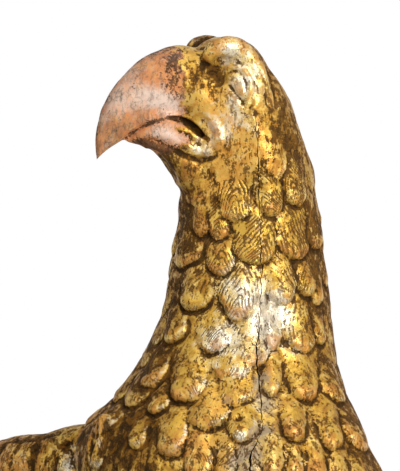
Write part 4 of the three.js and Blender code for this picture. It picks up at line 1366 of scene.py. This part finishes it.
def splitGlueLine(face):
    # two blocks that leave a thin open crack between the face plank and the nape plank
    along, upright, across = np.array([[0.7071, -0.7071, 0.0], [0.0, 0.0, 1.0], [0.7071, 0.7071, 0.0]])
    nape = copyOf(face, "nape")
    for piece, side, kind in ((face, -0.5, "DIFFERENCE"), (nape, 0.5, "INTERSECT")):
        edge = lambda u, z: glueLine["front"] + side * crackWidth(z) + crackShift(u, z)
        reach = ((-140, 140), (430, 720))
        cutBy(piece, sheetBlock("crack", neckAxis, (along, upright, across), reach, (57, 146), edge, 200), kind)
    return nape


def makeHead(feathers, gilt, beakPaint):
    whole = headBase(head["grain"])
    points, normals, edges = smoothed(whole, 2)
    print("head: base of", len(points), "points")
    lift = faceCarving(whole, points)
    lift += 0.28 * wobble(points, 24, 11) + 0.12 * wobble(points, 9, 12)
    near = [f for f in feathers if f.tip[2] > head["featherRange"]]
    finishCarving(whole, points, normals, edges, lift, carveFeathers(points, near), spots)
    beakMarks(whole, readPoints(whole))
    cutBy(whole, planeBlock((0, 0, head["neckCut"]), (0, 0, -1)))
    face, upper, lower = splitBeak(whole)
    nape = splitGlueLine(face)
    handOver(face, "carved_head_face_plank", gilt, "neck_gilding", "head_face_plank")
    handOver(nape, "carved_head_nape_plank", gilt, "neck_gilding", "head_nape_plank")
    handOver(upper, "carved_upper_beak", beakPaint, "worn_beak_gilding", "upper_beak")
    handOver(lower, "carved_lower_beak", beakPaint, "worn_beak_gilding", "lower_beak")
    print("head: points", [(p.name, len(p.data.vertices)) for p in (face, nape, upper, lower)])


# Trunk: breast, core and back planks
trunk = {
    "range": (196.0, 470.0),
    "topCut": 445.15,
    "backSeam": 20.0,
    "breastSeam": -50.0,
    "featherRange": 500.0,  # feathers with higher tips leave the trunk alone
    "toolRange": (190.0, 470.0),  # what wings, thighs and tail are cut back to
    "toolInset": 2.2,
    "grain": 1.75,
    "quickGrain": 3.0,
}


def makeTrunk(feathers, gilt):
    grain = trunk["grain"]
    whole = melted("trunk", [loftPiece("trunk", bodyRings(*trunk["range"], body["ground"]))], grain)
    points, normals, edges = smoothed(whole, 5)
    near = [f for f in feathers if f.tip[2] < trunk["featherRange"]]
    field = carveFeathers(points, near, depthLimit=20.0)
    finishCarving(whole, points, normals, edges, 0.5 * wobble(points, 40, 21), field)
    cutBy(whole, planeBlock((0, 0, trunk["topCut"]), (0, 0, 1)))
    front, back = partAt(whole, (0, trunk["backSeam"], 0), (0, 1, 0))
    breast, core = partAt(front, (0, trunk["breastSeam"], 0), (0, 1, 0))
    for piece, part in ((breast, "breast"), (core, "core"), (back, "back")):
        handOver(piece, f"carved_trunk_{part}_plank", gilt, "body_gilding", f"trunk_{part}_plank")
    print("trunk: points", [(p.name, len(p.data.vertices)) for p in (breast, core, back)])


# Wings: sizes in millimetres, places in shares of the reach and the drop
wing = {
    "reach": 255.0,
    "drop": 318.0,
    "top": 466.2,
    "turn": 9.0,
    "armRadius": 23.0,
    "armGround": 1.5,
    "shoulder": (0.38, 0.02, 0.2),
    "shoulderRadii": (44.4, 31.6, 58.9),
    "featherWidth": 38.0,
    "featherHalf": 7.4,
    "featherEnd": (405.0, 435.0),  # heights where the long feathers run out
    "ground": 0.8,
    "shoulderSeam": 0.27,
    "featherSeam": (0.7, 0.675),  # outward shares of its upper and lower end
    "scaleWidth": 19.0,
    "scaleLength": 30.0,
    "grain": 1.5,
    "quickGrain": 2.8,
}
# Long feathers of wing and tail: shares of the solids' width and thickness, quill and barbs
vane = {
    "width": 0.97,
    "depth": 0.86,
    "quillHeight": 0.9,
    "quillWidth": 1.6,
    "barbs": 0.85,
    "barbPitch": 1.25,
}
# Outwards, back, drop and thickness
armRows = [
    [0.235, 0.059, 0.125, 1.04],
    [0.424, 0.02, 0.11, 0.96],
    [0.56, -0.024, 0.046, 0.96],
    [0.675, -0.055, 0.067, 0.96],
    [0.784, -0.055, 0.076, 0.91],
    [0.886, -0.024, 0.122, 0.75],
    [0.953, 0.039, 0.35, 0.5],
    [0.973, 0.094, 0.6, 0.26],
]
# Count, thickness, first root and last root, first tip and last tip, as outward and drop shares
featherRows = [
    (5, 13.0, (0.43, 0.16), (0.66, 0.1), (0.435, 0.62), (0.64, 0.82)),
    (5, 13.0, (0.72, 0.09), (0.925, 0.24), (0.69, 0.87), (0.93, 1.0)),
    (4, 25.0, (0.44, 0.14), (0.68, 0.08), (0.44, 0.37), (0.67, 0.45)),
    (3, 25.0, (0.76, 0.09), (0.9, 0.2), (0.745, 0.52), (0.92, 0.66)),
]


def wingPoint(side, out, back, drop):
    x, y = side * out * wing["reach"], back * wing["reach"]
    return np.array([x, y, wing["top"] - drop * wing["drop"]])


def sheetSetback(out, drop):
    # how far back the feathers lie, as a share of the reach
    return -0.02 + 0.17 * drop**0.8 - 0.05 * math.sin(min(1, out) * math.pi) * (1 - drop)


def bladePiece(path, beside, width, thickness):
    # one long feather with a rounded end; returns it with its middle line
    centres = catmull(path, 10)
    share = np.linspace(0, 1, len(centres))
    waist = 0.86 + 0.14 * ramp(share, 0, 0.4)
    widths = width * waist * np.sqrt(np.clip(1 - ramp(share, 0.8, 1.02) ** 1.6, 0.004, 1))
    depths = thickness * (0.55 + 0.45 * widths / width)
    angle = np.linspace(0, 2 * math.pi, 24, endpoint=False)
    bulge = np.sign(np.sin(angle)) * np.abs(np.sin(angle)) ** 0.9
    beside = np.asarray(beside, float)
    rings = []
    for i, centre in enumerate(centres):
        along = centres[min(i + 1, len(centres) - 1)] - centres[max(i - 1, 0)]
        through = np.cross(along, beside)
        through /= np.linalg.norm(through)
        sideways = 0.5 * widths[i] * np.cos(angle)[:, None] * beside
        rings.append(centre + sideways + 0.5 * depths[i] * bulge[:, None] * through)
    return loftPiece("blade", rings), centres


def bladeField(points, normals, lines, beside, half, field):
    # marks the vane of the nearest blade, with a raised quill and one edge that lies over the next
    best = np.full(len(points), 1e9)
    quill, lap = np.zeros(len(points)), np.zeros(len(points))
    stray = 0.3 * wobble(points, 9.0, 15)
    for line in lines:
        gap, along = distanceToLine(points, line[::3])
        closer = (gap < best) & (field["height"] <= 0.05)
        best[closer] = gap[closer]
        length = np.linalg.norm(line[-1] - line[0])
        centre = line[0] + along[:, None] * (line[-1] - line[0])
        v = (points - centre) @ beside
        t = (1 - along) * length
        phase = (0.8 * t + 1.3 * np.abs(v)) / (vane["barbPitch"] * gilding["barbPitch"]) + stray
        field["along"][closer] = t[closer]
        field["phase"][closer] = phase[closer]
        field["barbs"][closer] = vane["barbs"]
        ridge = np.exp(-((v / vane["quillWidth"]) ** 2)) * (1 - 0.6 * along)
        quill[closer] = ridge[closer]
        lap[closer] = np.clip(v[closer] / half, -1, 1)
    return vane["quillHeight"] * quill + lap * -np.sign(normals[:, 1])


def wingBlades(side, beside):
    # the long feathers, each with its middle line
    made = []
    for count, thickness, *ends in featherRows:
        firstRoot, lastRoot, firstTip, lastTip = np.array(ends)
        for i in range(count):
            k = i / (count - 1)
            root = firstRoot * (1 - k) + lastRoot * k
            tip = firstTip * (1 - k) + lastTip * k
            path = []
            for t in np.linspace(0, 1, 4):
                out, drop = root * (1 - t) + tip * t
                path.append(wingPoint(side, out, sheetSetback(out, drop), drop))
            width, depth = wing["featherWidth"] * vane["width"], thickness * vane["depth"]
            made.append(bladePiece(path, beside, width, depth))
    return made


def wingScales(whole, side):
    # small scales over the shoulder, in front further down than behind
    dice = np.random.default_rng(31 if side > 0 else 32)
    made = []
    for way in (1, -1):
        for k, drop in enumerate(np.arange(0.09, 0.5, 0.052)):
            for out in np.arange(0.27 + 0.03 * (k % 2), 0.97, 0.06):
                x = side * out * wing["reach"] + dice.uniform(-2, 2)
                z = wing["top"] - drop * wing["drop"] + dice.uniform(-2, 2)
                if drop > 0.14 + 0.16 * (1 - abs(out - 0.4) / 0.6) and way > 0 or drop > 0.2:
                    continue
                tip, normal = onPiece(whole, (x, -400 * way, z), (0, way, 0))
                if tip is None:
                    continue
                down = (side * 0.35 * (out - 0.3), 0, -1.0)
                cut = 1.4 + 1.0 * ramp(drop, 0.09, 0.15)
                size = (wing["scaleWidth"], wing["scaleLength"], cut)
                made.append(Feather(tip, down, normal, *size, barbs=0.5, puff=0.5))
    return made


def makeWing(name, side, gilt, trunkTool):
    grain = wing["grain"]
    turned = math.radians(wing["turn"])
    beside = np.array([math.cos(turned), side * math.sin(turned), 0.0])
    path = [wingPoint(side, *row[:3]) for row in armRows]
    arm = limbPiece("arm", path, [row[3] * (wing["armRadius"] - wing["armGround"]) for row in armRows])
    knob = ballPiece("shoulder", wingPoint(side, *wing["shoulder"]), wing["shoulderRadii"])
    blades = wingBlades(side, beside)
    whole = melted("wing", [arm, knob, *[blade for blade, _ in blades]], grain)
    points, normals, edges = smoothed(whole, 4)
    field = carveFeathers(points, wingScales(whole, side), seed=41)
    middles = [line for _, line in blades]
    vanes = bladeField(points, normals, middles, beside, wing["featherHalf"], field)
    lift = 0.35 * wobble(points, 30, 51) + vanes * (1 - ramp(points[:, 2], *wing["featherEnd"]))
    if side < 0:
        lift += wingStrands(whole, points)
    marks = wingSpots if side < 0 else None
    # painted shade: darker towards the top of the wing's shoulder
    extraShade = 0.3 * ramp(points[:, 2], 390, 440)
    finishCarving(whole, points, normals, edges, lift - wing["ground"], field, marks, extraShade)
    cutBy(whole, trunkTool, keepTool=True)
    low, shoulder = partAt(whole, wingPoint(side, 0, 0, wing["shoulderSeam"]), (0, 0, 1))
    top = wingPoint(side, wing["featherSeam"][0], 0, wing["shoulderSeam"])
    along = wingPoint(side, wing["featherSeam"][1], 0, 1.0) - top
    inner, outer = partAt(low, top, (-along[2] * side, 0, along[0] * side))
    for piece, part in ((shoulder, "shoulder"), (inner, "inner"), (outer, "outer")):
        node = f"{name}_wing_{part}_plank"
        handOver(piece, f"carved_{node}", gilt, "wing_gilding", node)
    print(name, "wing: points", [(p.name, len(p.data.vertices)) for p in (shoulder, inner, outer)])


# Long soft folds on the shoulder: points of the picture, radius and height in millimetres, fading ends
wingFolds = [
    ([(112, 414), (104, 430), (99, 448), (94, 470)], 2.4, 2.0, 0.1),
    ([(99, 420), (95, 440), (88, 470)], 2.4, 1.8, 0.1),
    ([(106, 424), (100, 440), (93, 466)], 1.6, -1.4, 0.1),
    ([(64, 440), (70, 455), (72, 472)], 4.0, -2.4, 0.1),
    ([(84, 424), (82, 445), (78, 472)], 3.0, 1.2, 0.1),
    ([(-70, 470), (-45, 462), (-20, 454), (-4, 448)], 10.0, -4.0, 0.2),
]


def wingStrands(whole, points):
    made = []
    for line, radius, height, fade in wingFolds:
        seen = [onPiece(whole, lookout, photoRay(px, py))[0] for px, py in line]
        seen = [place for place in seen if place is not None]
        if len(seen) > 1:
            made.append((np.array(seen), radius, height, fade))
    return strokes(points, made)


# Tail: sizes in millimetres, places in shares of the trunk's radius and the figure's height
tail = {
    "count": 7,
    "halfSpread": 62.0,
    "rootSpread": 0.35,
    "outerLift": 0.025,
    "featherWidth": 34.0,
    "featherThickness": 12.0,
    "featherHalf": 9.0,
    "featherEnd": (235.0, 265.0),
    "rumpHalf": 98.0,
    "rumpFlatness": 0.5,
    "ground": 0.8,
    "grain": 1.4,
    "quickGrain": 2.6,
}
# Back and height
tailRows = [[0.84, 0.4], [1.12, 0.29], [1.4, 0.18], [1.58, 0.095]]
# Back, height and half width
rumpRows = [
    [0.72, 0.47, 0.12],
    [0.84, 0.42, 0.26],
    [0.96, 0.365, 0.34],
    [1.1, 0.3, 0.36],
    [1.24, 0.245, 0.2],
]


def tailBlades():
    made = []
    last = len(tailRows) - 1
    for i in range(tail["count"]):
        across = 2 * i / (tail["count"] - 1) - 1
        path = []
        for k, (back, height) in enumerate(tailRows):
            spread = tail["rootSpread"] + (1 - tail["rootSpread"]) * k / last
            height += tail["outerLift"] * across**2 if k == last else 0
            x, y = across * spread * tail["halfSpread"], back * body["trunkRadius"]
            path.append(np.array([x, y, height * body["height"]]))
        width, depth = tail["featherWidth"] * vane["width"], tail["featherThickness"] * vane["depth"]
        made.append(bladePiece(path, (1, 0, 0), width, depth))
    return made


def rumpPiece():
    path = []
    for back, height, _ in rumpRows:
        path.append(np.array([0, back * body["trunkRadius"], height * body["height"]]))
    radii = [row[2] * tail["rumpHalf"] for row in rumpRows]
    return limbPiece("rump", path, radii, flat=tail["rumpFlatness"])


def tailScales(whole):
    made = []
    for k, z in enumerate(np.arange(320, 190, -15.0)):
        for x in np.arange(-34 + 8 * (k % 2), 35, 16.0):
            tip, normal = onPiece(whole, (x, 500, z), (0, -1, 0))
            if tip is not None:
                down = (x * 0.004, 0.3, -1)
                made.append(Feather(tip, down, normal, 19.0, 32.0, 2.6, barbs=0.5, puff=0.5))
    return made


def makeTail(gilt, trunkTool):
    grain = tail["grain"]
    blades = tailBlades()
    whole = melted("tail", [*[blade for blade, _ in blades], rumpPiece()], grain)
    points, normals, edges = smoothed(whole, 4)
    field = carveFeathers(points, tailScales(whole), seed=61)
    middles, beside = [line for _, line in blades], np.array([1.0, 0, 0])
    vanes = bladeField(points, normals, middles, beside, tail["featherHalf"], field)
    lift = 0.3 * wobble(points, 26, 71) + vanes * (1 - ramp(points[:, 2], *tail["featherEnd"]))
    finishCarving(whole, points, normals, edges, lift - tail["ground"], field)
    cutBy(whole, trunkTool, keepTool=True)
    handOver(whole, "carved_tail_board", gilt, "wing_gilding", "tail_board")
    print("tail: points", len(whole.data.vertices))


# Legs: sizes in millimetres
leg = {
    "spread": 42.0,
    "setback": 12.0,
    "thighRadius": 38.0,
    "thighGround": 1.5,
    "thighDepth": 1.2,
    "shankRadius": 10.0,
    "toeRadius": 8.0,
    "toeLength": 58.0,
    "footGround": 0.3,
    "footDepth": 0.7,
    "knuckleRadii": (13.6, 15.2, 10.0),
    "rockHeight": 96.0,
    "ankle": 183.4,
    "ringPitch": 6.0,  # scutes up the shank
    "talonStart": 3.15,  # in rows of toeRows
    "thighGrain": 1.4,
    "quickThighGrain": 2.6,
    "footGrain": 0.95,
    "quickFootGrain": 1.8,
}
# Outwards and back in shares of the thigh's radius, height share, thickness
thighRows = [
    [0, 0, 0.236, 0.4],
    [0.04, -0.05, 0.27, 0.62],
    [0.12, -0.15, 0.32, 0.87],
    [0.2, -0.28, 0.375, 1.0],
    [0.22, -0.38, 0.43, 0.98],
    [0.16, -0.45, 0.47, 0.7],
]
shankShares = [1.15, 1.0, 1.0, 1.1]  # thickness from the toes up
toeTurns = [(-16, 0.94), (8, 1.08), (34, 0.92), (176, 0.66)]  # degrees outwards, share of the length
# Forward share, then height and thickness in shares of the toe's radius
toeRows = [
    [0.0, 1.5, 1.15],
    [0.3, 1.15, 1.0],
    [0.6, 1.1, 0.95],
    [0.84, 1.35, 0.62],
    [1.02, 1.0, 0.4],
    [1.1, 0.35, 0.14],
]


def makeThigh(name, side, gilt, trunkTool):
    grain = leg["thighGrain"]
    path = []
    for out, back, height, _ in thighRows:
        x = side * (leg["spread"] + out * leg["thighRadius"])
        y = leg["setback"] + back * leg["thighRadius"]
        path.append(np.array([x, y, height * body["height"]]))
    radii = [row[3] * (leg["thighRadius"] - leg["thighGround"]) for row in thighRows]
    whole = melted("thigh", [limbPiece("thigh", path, radii)], grain)
    points, normals, edges = smoothed(whole, 4)
    rows = []
    for z in np.arange(334, 164, -18.5):
        above = max(0, z - 190)
        axis = (side * leg["spread"] + side * above * 0.07, leg["setback"] - 6 - above * 0.12)
        rows.append((z, axis, 14.0, 52.0, 3.0, 0.7, 0.2))
    field = carveFeathers(points, aroundRows(whole, rows, seed=81 + side), seed=83)
    lift = 0.3 * wobble(points, 24, 85) - leg["thighDepth"]
    finishCarving(whole, points, normals, edges, lift, field)
    cutBy(whole, trunkTool, keepTool=True)
    handOver(whole, f"carved_{name}_thigh", gilt, "body_gilding", f"{name}_thigh")


def toePiece(side, place, turned, reach):
    # one toe with its talon; returns it with its middle line
    angle = math.radians(turned)
    way = np.array([side * math.sin(angle), -math.cos(angle), 0.0])
    path = []
    for forward, height, _ in toeRows:
        ground = place + (0, 0, leg["rockHeight"] + height * leg["toeRadius"])
        path.append(ground + way * forward * reach * leg["toeLength"])
    radii = [row[2] * (leg["toeRadius"] - leg["footGround"]) for row in toeRows]
    return limbPiece("toe", path, radii, sides=20), np.array(path)


def makeFoot(name, side, paint):
    grain = leg["footGrain"]
    place = np.array([side * leg["spread"], leg["setback"], 0.0])
    low, top = leg["rockHeight"], leg["ankle"]
    radii = np.array(shankShares) * (leg["shankRadius"] - leg["footGround"])
    shank = limbPiece("shank", [place + (0, 0, low + 8), place + (0, 0, top)], radii, steps=12)
    knuckleAt = place + (0, 0, low + leg["toeRadius"] * 1.2)
    knuckle = ballPiece("knuckle", knuckleAt, leg["knuckleRadii"])
    toes = [toePiece(side, place, turned, reach) for turned, reach in toeTurns]
    whole = melted("foot", [shank, knuckle, *[toe for toe, _ in toes]], grain)
    points, normals, edges = smoothed(whole, 3)
    # scutes: rings across the toes and the shank, bare on the talons
    best, reach = np.full(len(points), 1e9), np.zeros(len(points))
    for _, line in toes:
        gap, along = distanceToLine(points, line)
        closer = gap < best
        best[closer], reach[closer] = gap[closer], along[closer] * (len(toeRows) - 1)
    onShank = points[:, 2] > low + 20
    shankRings = np.abs(np.sin(points[:, 2] / leg["ringPitch"] * math.pi)) ** 0.5
    toeRings = np.abs(np.sin(reach * 2.6 * math.pi)) ** 0.5
    talon = ~onShank & (reach > leg["talonStart"])
    scute = np.where(onShank, shankRings, toeRings) * np.where(talon, 0, 1)
    lift = 0.9 * scute * ramp(normals[:, 2], -0.5, 0.4) + 0.5 * talon - leg["footDepth"]
    finishCarving(whole, points, normals, edges, lift, carveFeathers(points, []))
    store(whole, "shade", talon * 0.5)
    cutBy(whole, planeBlock((0, 0, low + leg["footGround"]), (0, 0, -1)))
    handOver(whole, f"carved_{name}_foot", paint, "foot_gilding", f"{name}_foot")


# Rock: sizes in millimetres
rock = {
    "radiusX": 122.0,
    "radiusY": 112.0,
    "height": 96.0,
    "setback": 15.0,
    "ground": 1.5,
    "ledgePitch": 26.0,
    "ledgeHeight": 2.6,
    "cutBack": 3.4,
    "grain": 1.9,
    "quickGrain": 3.0,
}
# Height share, radius share, depth of the ledges, their turn in degrees
rockRows = [
    [0, 0.97, 0.05, 0],
    [0.16, 1.0, 0.07, 4],
    [0.34, 0.97, 0.08, 22],
    [0.42, 0.93, 0.08, 30],
    [0.66, 0.9, 0.07, 58],
    [0.74, 0.86, 0.07, 66],
    [0.95, 0.82, 0.05, 90],
    [1, 0.76, 0.05, 96],
]


def rockPiece():
    angle = np.linspace(0, 2 * math.pi, 120, endpoint=False)
    rings = []
    for height, radius, ledge, turned in catmull(rockRows, 6):
        t = math.radians(turned)
        share = radius + ledge * (np.sin(3 * angle + t) + 0.7 * np.sin(7 * angle - 2 * t)) * 0.6
        x = np.cos(angle) * share * (rock["radiusX"] - rock["ground"])
        y = np.sin(angle) * share * (rock["radiusY"] - rock["ground"])
        z = np.full(120, min(max(height, 0), 1) * rock["height"])
        rings.append(np.stack([x, rock["setback"] + y, z], 1))
    return loftPiece("rock", rings)


def makeRock(paint):
    whole = melted("rock", [rockPiece()], rock["grain"])
    points, normals, edges = smoothed(whole, 4)
    flat = ramp(points[:, 2], 88, 94) * ramp(normals[:, 2], 0.3, 0.8)
    ground = 1 - ramp(points[:, 2], 0.5, 6)
    # broken ledges and chisel facets
    level = points[:, 2] + 9.0 * wobble(points, 70, 91) + 3.0 * wobble(points, 22, 94)
    strata = 1 - np.abs(((level / rock["ledgePitch"]) % 1.0) - 0.5) * 2
    broken = ramp(wobble(points, 48, 95), -0.6, 0.7)
    facets = 2.6 * np.abs(wobble(points, 34, 92)) + 1.2 * np.abs(wobble(points, 13, 93))
    facets += 0.3 * wobble(points, 6, 96)
    ledges = rock["ledgeHeight"] * ramp(strata, 0.1, 0.75) * broken
    lift = (ledges + facets - rock["cutBack"]) * (1 - flat) * (1 - ground) - 0.3 * flat
    finishCarving(whole, points, normals, edges, lift, carveFeathers(points, []))
    cutBy(whole, planeBlock((0, 0, 0.0), (0, 0, -1)))
    handOver(whole, "carved_rock_base", paint, "rock_gilding", "rock_base")
    print("rock: points", len(whole.data.vertices))


# Places painted at points of the picture: point, radius in millimetres, strength
spots = {
    # darker places, mostly painted shade: in the mouth, under the jaw, in the knob's hole and where the neck
    # turns away; those below zero lighten
    "shade": [
        (213, 70, 7, 0.45), (221, 68, 4, 0.3), (282, 140, 7, 0.5), (172, 80, 6, 0.35),
        (197, 42, 8, 0.2), (226, 148, 9, 0.2), (240, 164, 8, 0.15), (80, 440, 5, 0.8),
        (79, 462, 5, 0.8), (208, 158, 6, 0.2), (219, 198, 4, 0.6), (183, 83, 7, 0.5),
        (197, 81, 7, 0.35), (210, 84, 5, 0.4), (243, 111, 5, 0.35), (259, 86, 6, 0.3),
        (257, 110, 7, 0.4), (256, 127, 6, 0.35), (178, 127, 4, 0.9), (186, 132, 4, 0.8),
        (194, 139, 4, 0.5), (167, 141, 5, 0.5), (181, 143, 5, 0.3), (203, 40, 9, 0.8),
        (195, 38, 6, 0.8), (212, 37, 5, 0.6), (268, 172, 8, 0.5), (272, 155, 6, 0.2),
        (186, 172, 7, 0.3), (196, 440, 17, -0.45), (215, 455, 14, -0.3), (176, 440, 10, -0.3),
        (225, 405, 12, -0.25), (212, 168, 9, 0.3), (168, 48, 5, 0.3), (150, 146, 12, 0.6),
        (175, 152, 9, 0.4), (206, 34, 8, 0.9), (178, 205, 9, 0.3), (146, 420, 16, 0.4),
        (122, 438, 18, 0.5), (160, 360, 14, 0.35), (135, 470, 14, 0.3), (190, 196, 8, 0.3),
        (176, 300, 9, 0.3), (205, 378, 6, 0.25), (239, 421, 2.6, 1.0), (180, 121, 4, 1.0),
        (190, 127, 4, 1.0), (198, 132, 4, 1.2), (205, 138, 3, 1.0), (172, 158, 6, 0.7),
        (185, 160, 5, 0.6),
    ],
    # pale, silvery places: rubbed gilding, many of them painted highlights
    "rub": [
        (240, 50, 8, 0.55), (254, 72, 8, 0.5), (260, 98, 8, 0.45), (240, 84, 6, 0.8),
        (213, 128, 5, 0.8), (232, 102, 6, 0.6), (214, 113, 7, 0.15), (227, 122, 7, 0.25),
        (243, 290, 9, 0.8), (270, 300, 9, 0.8), (270, 320, 10, 0.7), (222, 330, 8, 0.7),
        (236, 345, 10, 0.5), (222, 46, 6, 0.5), (285, 318, 8, 0.4), (262, 400, 8, 0.3),
        (228, 60, 4, 0.7), (236, 122, 5, 0.5), (222, 137, 5, 0.6), (206, 152, 5, 0.6),
        (248, 118, 5, 0.2), (253, 125, 6, 0.2), (196, 148, 5, 0.5), (225, 285, 6, 0.4),
        (200, 340, 6, 0.4), (240, 312, 6, 0.5), (272, 345, 6, 0.6), (295, 352, 6, 0.4),
        (262, 330, 6, 0.8), (240, 372, 6, 0.4), (214, 366, 5, 0.4), (240, 436, 3, 0.8),
        (215, 345, 5, 0.6), (203, 385, 5, 0.4), (109, 420, 3, 0.5), (101, 445, 3, 0.6),
        (96, 462, 3, 0.6), (90, 460, 3, 0.4),
    ],
    "clay": [
        (203, 225, 5, 0.7), (192, 94, 7, 0.4), (196, 60, 5, 0.35), (272, 90, 4, 0.5),
        (190, 165, 10, 0.4), (314, 470, 8, 0.8), (188, 440, 10, 0.4), (178, 350, 8, 0.3),
        (195, 190, 10, 0.35), (230, 178, 6, 0.4), (172, 430, 9, 0.3), (163, 418, 5, 0.5),
        (160, 455, 7, 0.4), (286, 420, 6, 0.3),
        # the beak's ridge and tip
        (104, 126, 8, 0.5), (120, 130, 8, 0.5), (103, 148, 6, 0.6), (137, 120, 7, 0.5),
        (138, 109, 6, 0.5), (118, 141, 6, 0.4), (150, 66, 8, 0.25),
    ],
    "warm": [
        (212, 112, 8, 0.6), (228, 124, 9, 0.7), (211, 140, 6, 0.5), (229, 142, 9, 0.9),
        (243, 140, 8, 0.6), (226, 158, 8, 0.5), (243, 158, 8, 0.6), (256, 154, 6, 0.6),
        (270, 150, 8, 0.5), (199, 102, 7, 0.5), (214, 97, 6, 0.4), (227, 90, 4, 0.4),
        (225, 186, 9, 0.6), (206, 182, 7, 0.4), (236, 172, 7, 0.5), (221, 171, 7, 0.5),
        (189, 54, 6, 0.4), (198, 440, 12, 0.6), (226, 452, 10, 0.5), (186, 462, 9, 0.5),
        (224, 408, 9, 0.4), (236, 372, 8, 0.3), (206, 398, 7, 0.4),
    ],
    # grey places: filler along the crack, and grey darkening of the far brow
    "haze": [
        (203, 39, 8, 0.9), (194, 38, 5, 0.8), (213, 36, 4, 0.6), (258, 92, 6, 0.25),
        (262, 320, 8, 0.7), (266, 405, 7, 1.0), (250, 458, 9, 1.0), (262, 240, 5, 0.4),
        (228, 400, 5, 0.5), (258, 352, 7, 0.7), (262, 432, 8, 1.0), (236, 345, 5, 0.4),
        (262, 380, 6, 0.9), (262, 300, 5, 0.4), (240, 470, 9, 0.9), (218, 424, 5, 0.6),
    ],
    # pale grey painted highlights on the beak, some lightening its left side
    "sheen": [
        (148, 97, 6, 0.8), (136, 96, 6, 0.4), (160, 99, 6, 0.8), (170, 104, 5, 0.7),
        (108, 104, 7, 0.5), (119, 90, 8, 0.35), (156, 132, 4, 0.8), (130, 73, 7, 0.3),
        (122, 104, 7, 0.4), (103, 119, 5, 0.3), (168, 134, 4, 0.8), (178, 139, 4, 0.6),
        (176, 107, 4, 0.5),
    ],
    # dark places on the beak: soiling near its root, and painted shade under the jaw and in the mouth
    "soil": [
        (175, 66, 6, 0.42), (173, 82, 5, 0.45), (168, 47, 6, 0.45), (170, 58, 5, 0.4),
        (172, 92, 5, 0.3), (154, 47, 5, 0.3), (150, 147, 6, 1.0), (140, 142, 4, 0.8),
        (162, 153, 7, 1.0), (174, 160, 7, 1.0), (182, 50, 5, 0.4), (152, 117, 4, 0.3),
        (166, 111, 4, 0.25), (169, 119, 2, 0.6), (177, 120, 2.4, 0.8),
    ],
}
# Painted places on the right wing: its knob's top darkened and greyed as painted shade, and pale places partly
# painted highlights, such as the glint low in its hollow
wingSpots = {
    "shade": [
        (38, 440, 9, 0.5), (14, 442, 7, 0.4), (58, 432, 7, 0.3), (58, 452, 6, 0.8), (54, 466, 6, 0.6),
        (104, 440, 7, 0.6), (95, 462, 5, 0.5), (35, 468, 6, 0.4),
    ],
    "haze": [(36, 440, 8, 0.6), (18, 440, 6, 0.4)],
    "rub": [(71, 462, 5, 0.9), (67, 470, 5, 0.5), (20, 465, 8, 0.3), (72, 448, 5, 0.4), (6, 456, 7, 0.3)],
    "clay": [(40, 455, 6, 0.3), (84, 430, 6, 0.4)],
    "warm": [(10, 456, 9, 0.8), (25, 464, 8, 0.5), (72, 456, 5, 0.4)],
}


def spotValues(piece, points, marks):
    # soft round spots, each laid where its point of the picture falls on the piece
    total = np.zeros(len(points))
    for px, py, radius, strength in marks:
        place, _ = onPhoto(piece, px, py)
        total += strength * np.exp(-(np.linalg.norm(points - place, axis=1) / radius) ** 2)
    return np.clip(total, -1, 1)


# Bare wood and iron of the pieces inside: sizes in millimetres
dowelWood = {
    "dull": (0.42, 0.28, 0.15),
    "pale": (0.62, 0.45, 0.27),
    "grain": 2.2,
    "stretch": (1, 1, 0.12),
    "roughness": 0.65,
}
iron = {
    "black": (0.05, 0.048, 0.045),
    "grey": (0.12, 0.11, 0.1),
    "rust": (0.16, 0.07, 0.03),
    "scale": 5.0,
    "rustSpot": 14.0,
    "metallic": 0.8,
    "roughness": 0.4,
}


def dowelPaint():
    paint = Paint(bpy.data.materials.new("bare_dowel_wood"))
    grain = paint.noise(paint.place(scale=dowelWood["stretch"]), dowelWood["grain"], 4.0, 0.6)
    return paint.finish({
        "Base Color": paint.mix(grain, dowelWood["dull"], dowelWood["pale"]),
        "Roughness": grain * 0.2 + dowelWood["roughness"],
        "Normal": paint.bump(grain, 0.4, 0.2),
    })


def ironPaint():
    paint = Paint(bpy.data.materials.new("black_iron"))
    where = paint.place()
    scale = paint.noise(where, iron["scale"], 4.0, 0.65)
    rust = paint.noise(where, iron["rustSpot"], 3.0).step(0.55, 0.72)
    return paint.finish({
        "Base Color": paint.mix(rust * 0.6, paint.mix(scale, iron["black"], iron["grey"]), iron["rust"]),
        "Metallic": iron["metallic"] - rust * 0.5,
        "Roughness": scale * 0.3 + iron["roughness"],
        "Normal": paint.bump(scale, 0.5, 0.25),
    })


def paintInnerPieces():
    wood, metal = dowelPaint(), ironPaint()
    for name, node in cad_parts.items():
        if "dowel" in name or "screw" in name or "rod" in name:
            node.data.materials.clear()
            node.data.materials.append(wood if "dowel" in name else metal)


# How much darker each gilding is toned
toning = {"neck": 0.0, "body": 0.0, "wings": 0.02, "feet": 0.12, "rock": 0.22}


def main():
    makeCamera()
    makeLights()
    makeWorld()
    makeFloor()
    print("stage: camera, lamps and floor done")
    whole = bodyGuide()
    feathers = coatFeathers(whole)
    dropped(whole)
    print("feathers: laid out", len(feathers))
    gilt = {name: gildedPaint(f"gilded_{name}", darker) for name, darker in toning.items()}
    makeHead(feathers, gilt["neck"], gildedPaint("worn_beak"))
    trunkTool = loftPiece("trunkTool", bodyRings(*trunk["toolRange"], trunk["toolInset"]))
    makeTrunk(feathers, gilt["body"])
    for name, side in (("left", 1), ("right", -1)):
        makeWing(name, side, gilt["wings"], trunkTool)
        makeThigh(name, side, gilt["body"], trunkTool)
        makeFoot(name, side, gilt["feet"])
        print(name, "wing, thigh and foot done")
    makeTail(gilt["wings"], trunkTool)
    dropped(trunkTool)
    makeRock(gilt["rock"])
    paintInnerPieces()
    print("inner pieces painted")


main()
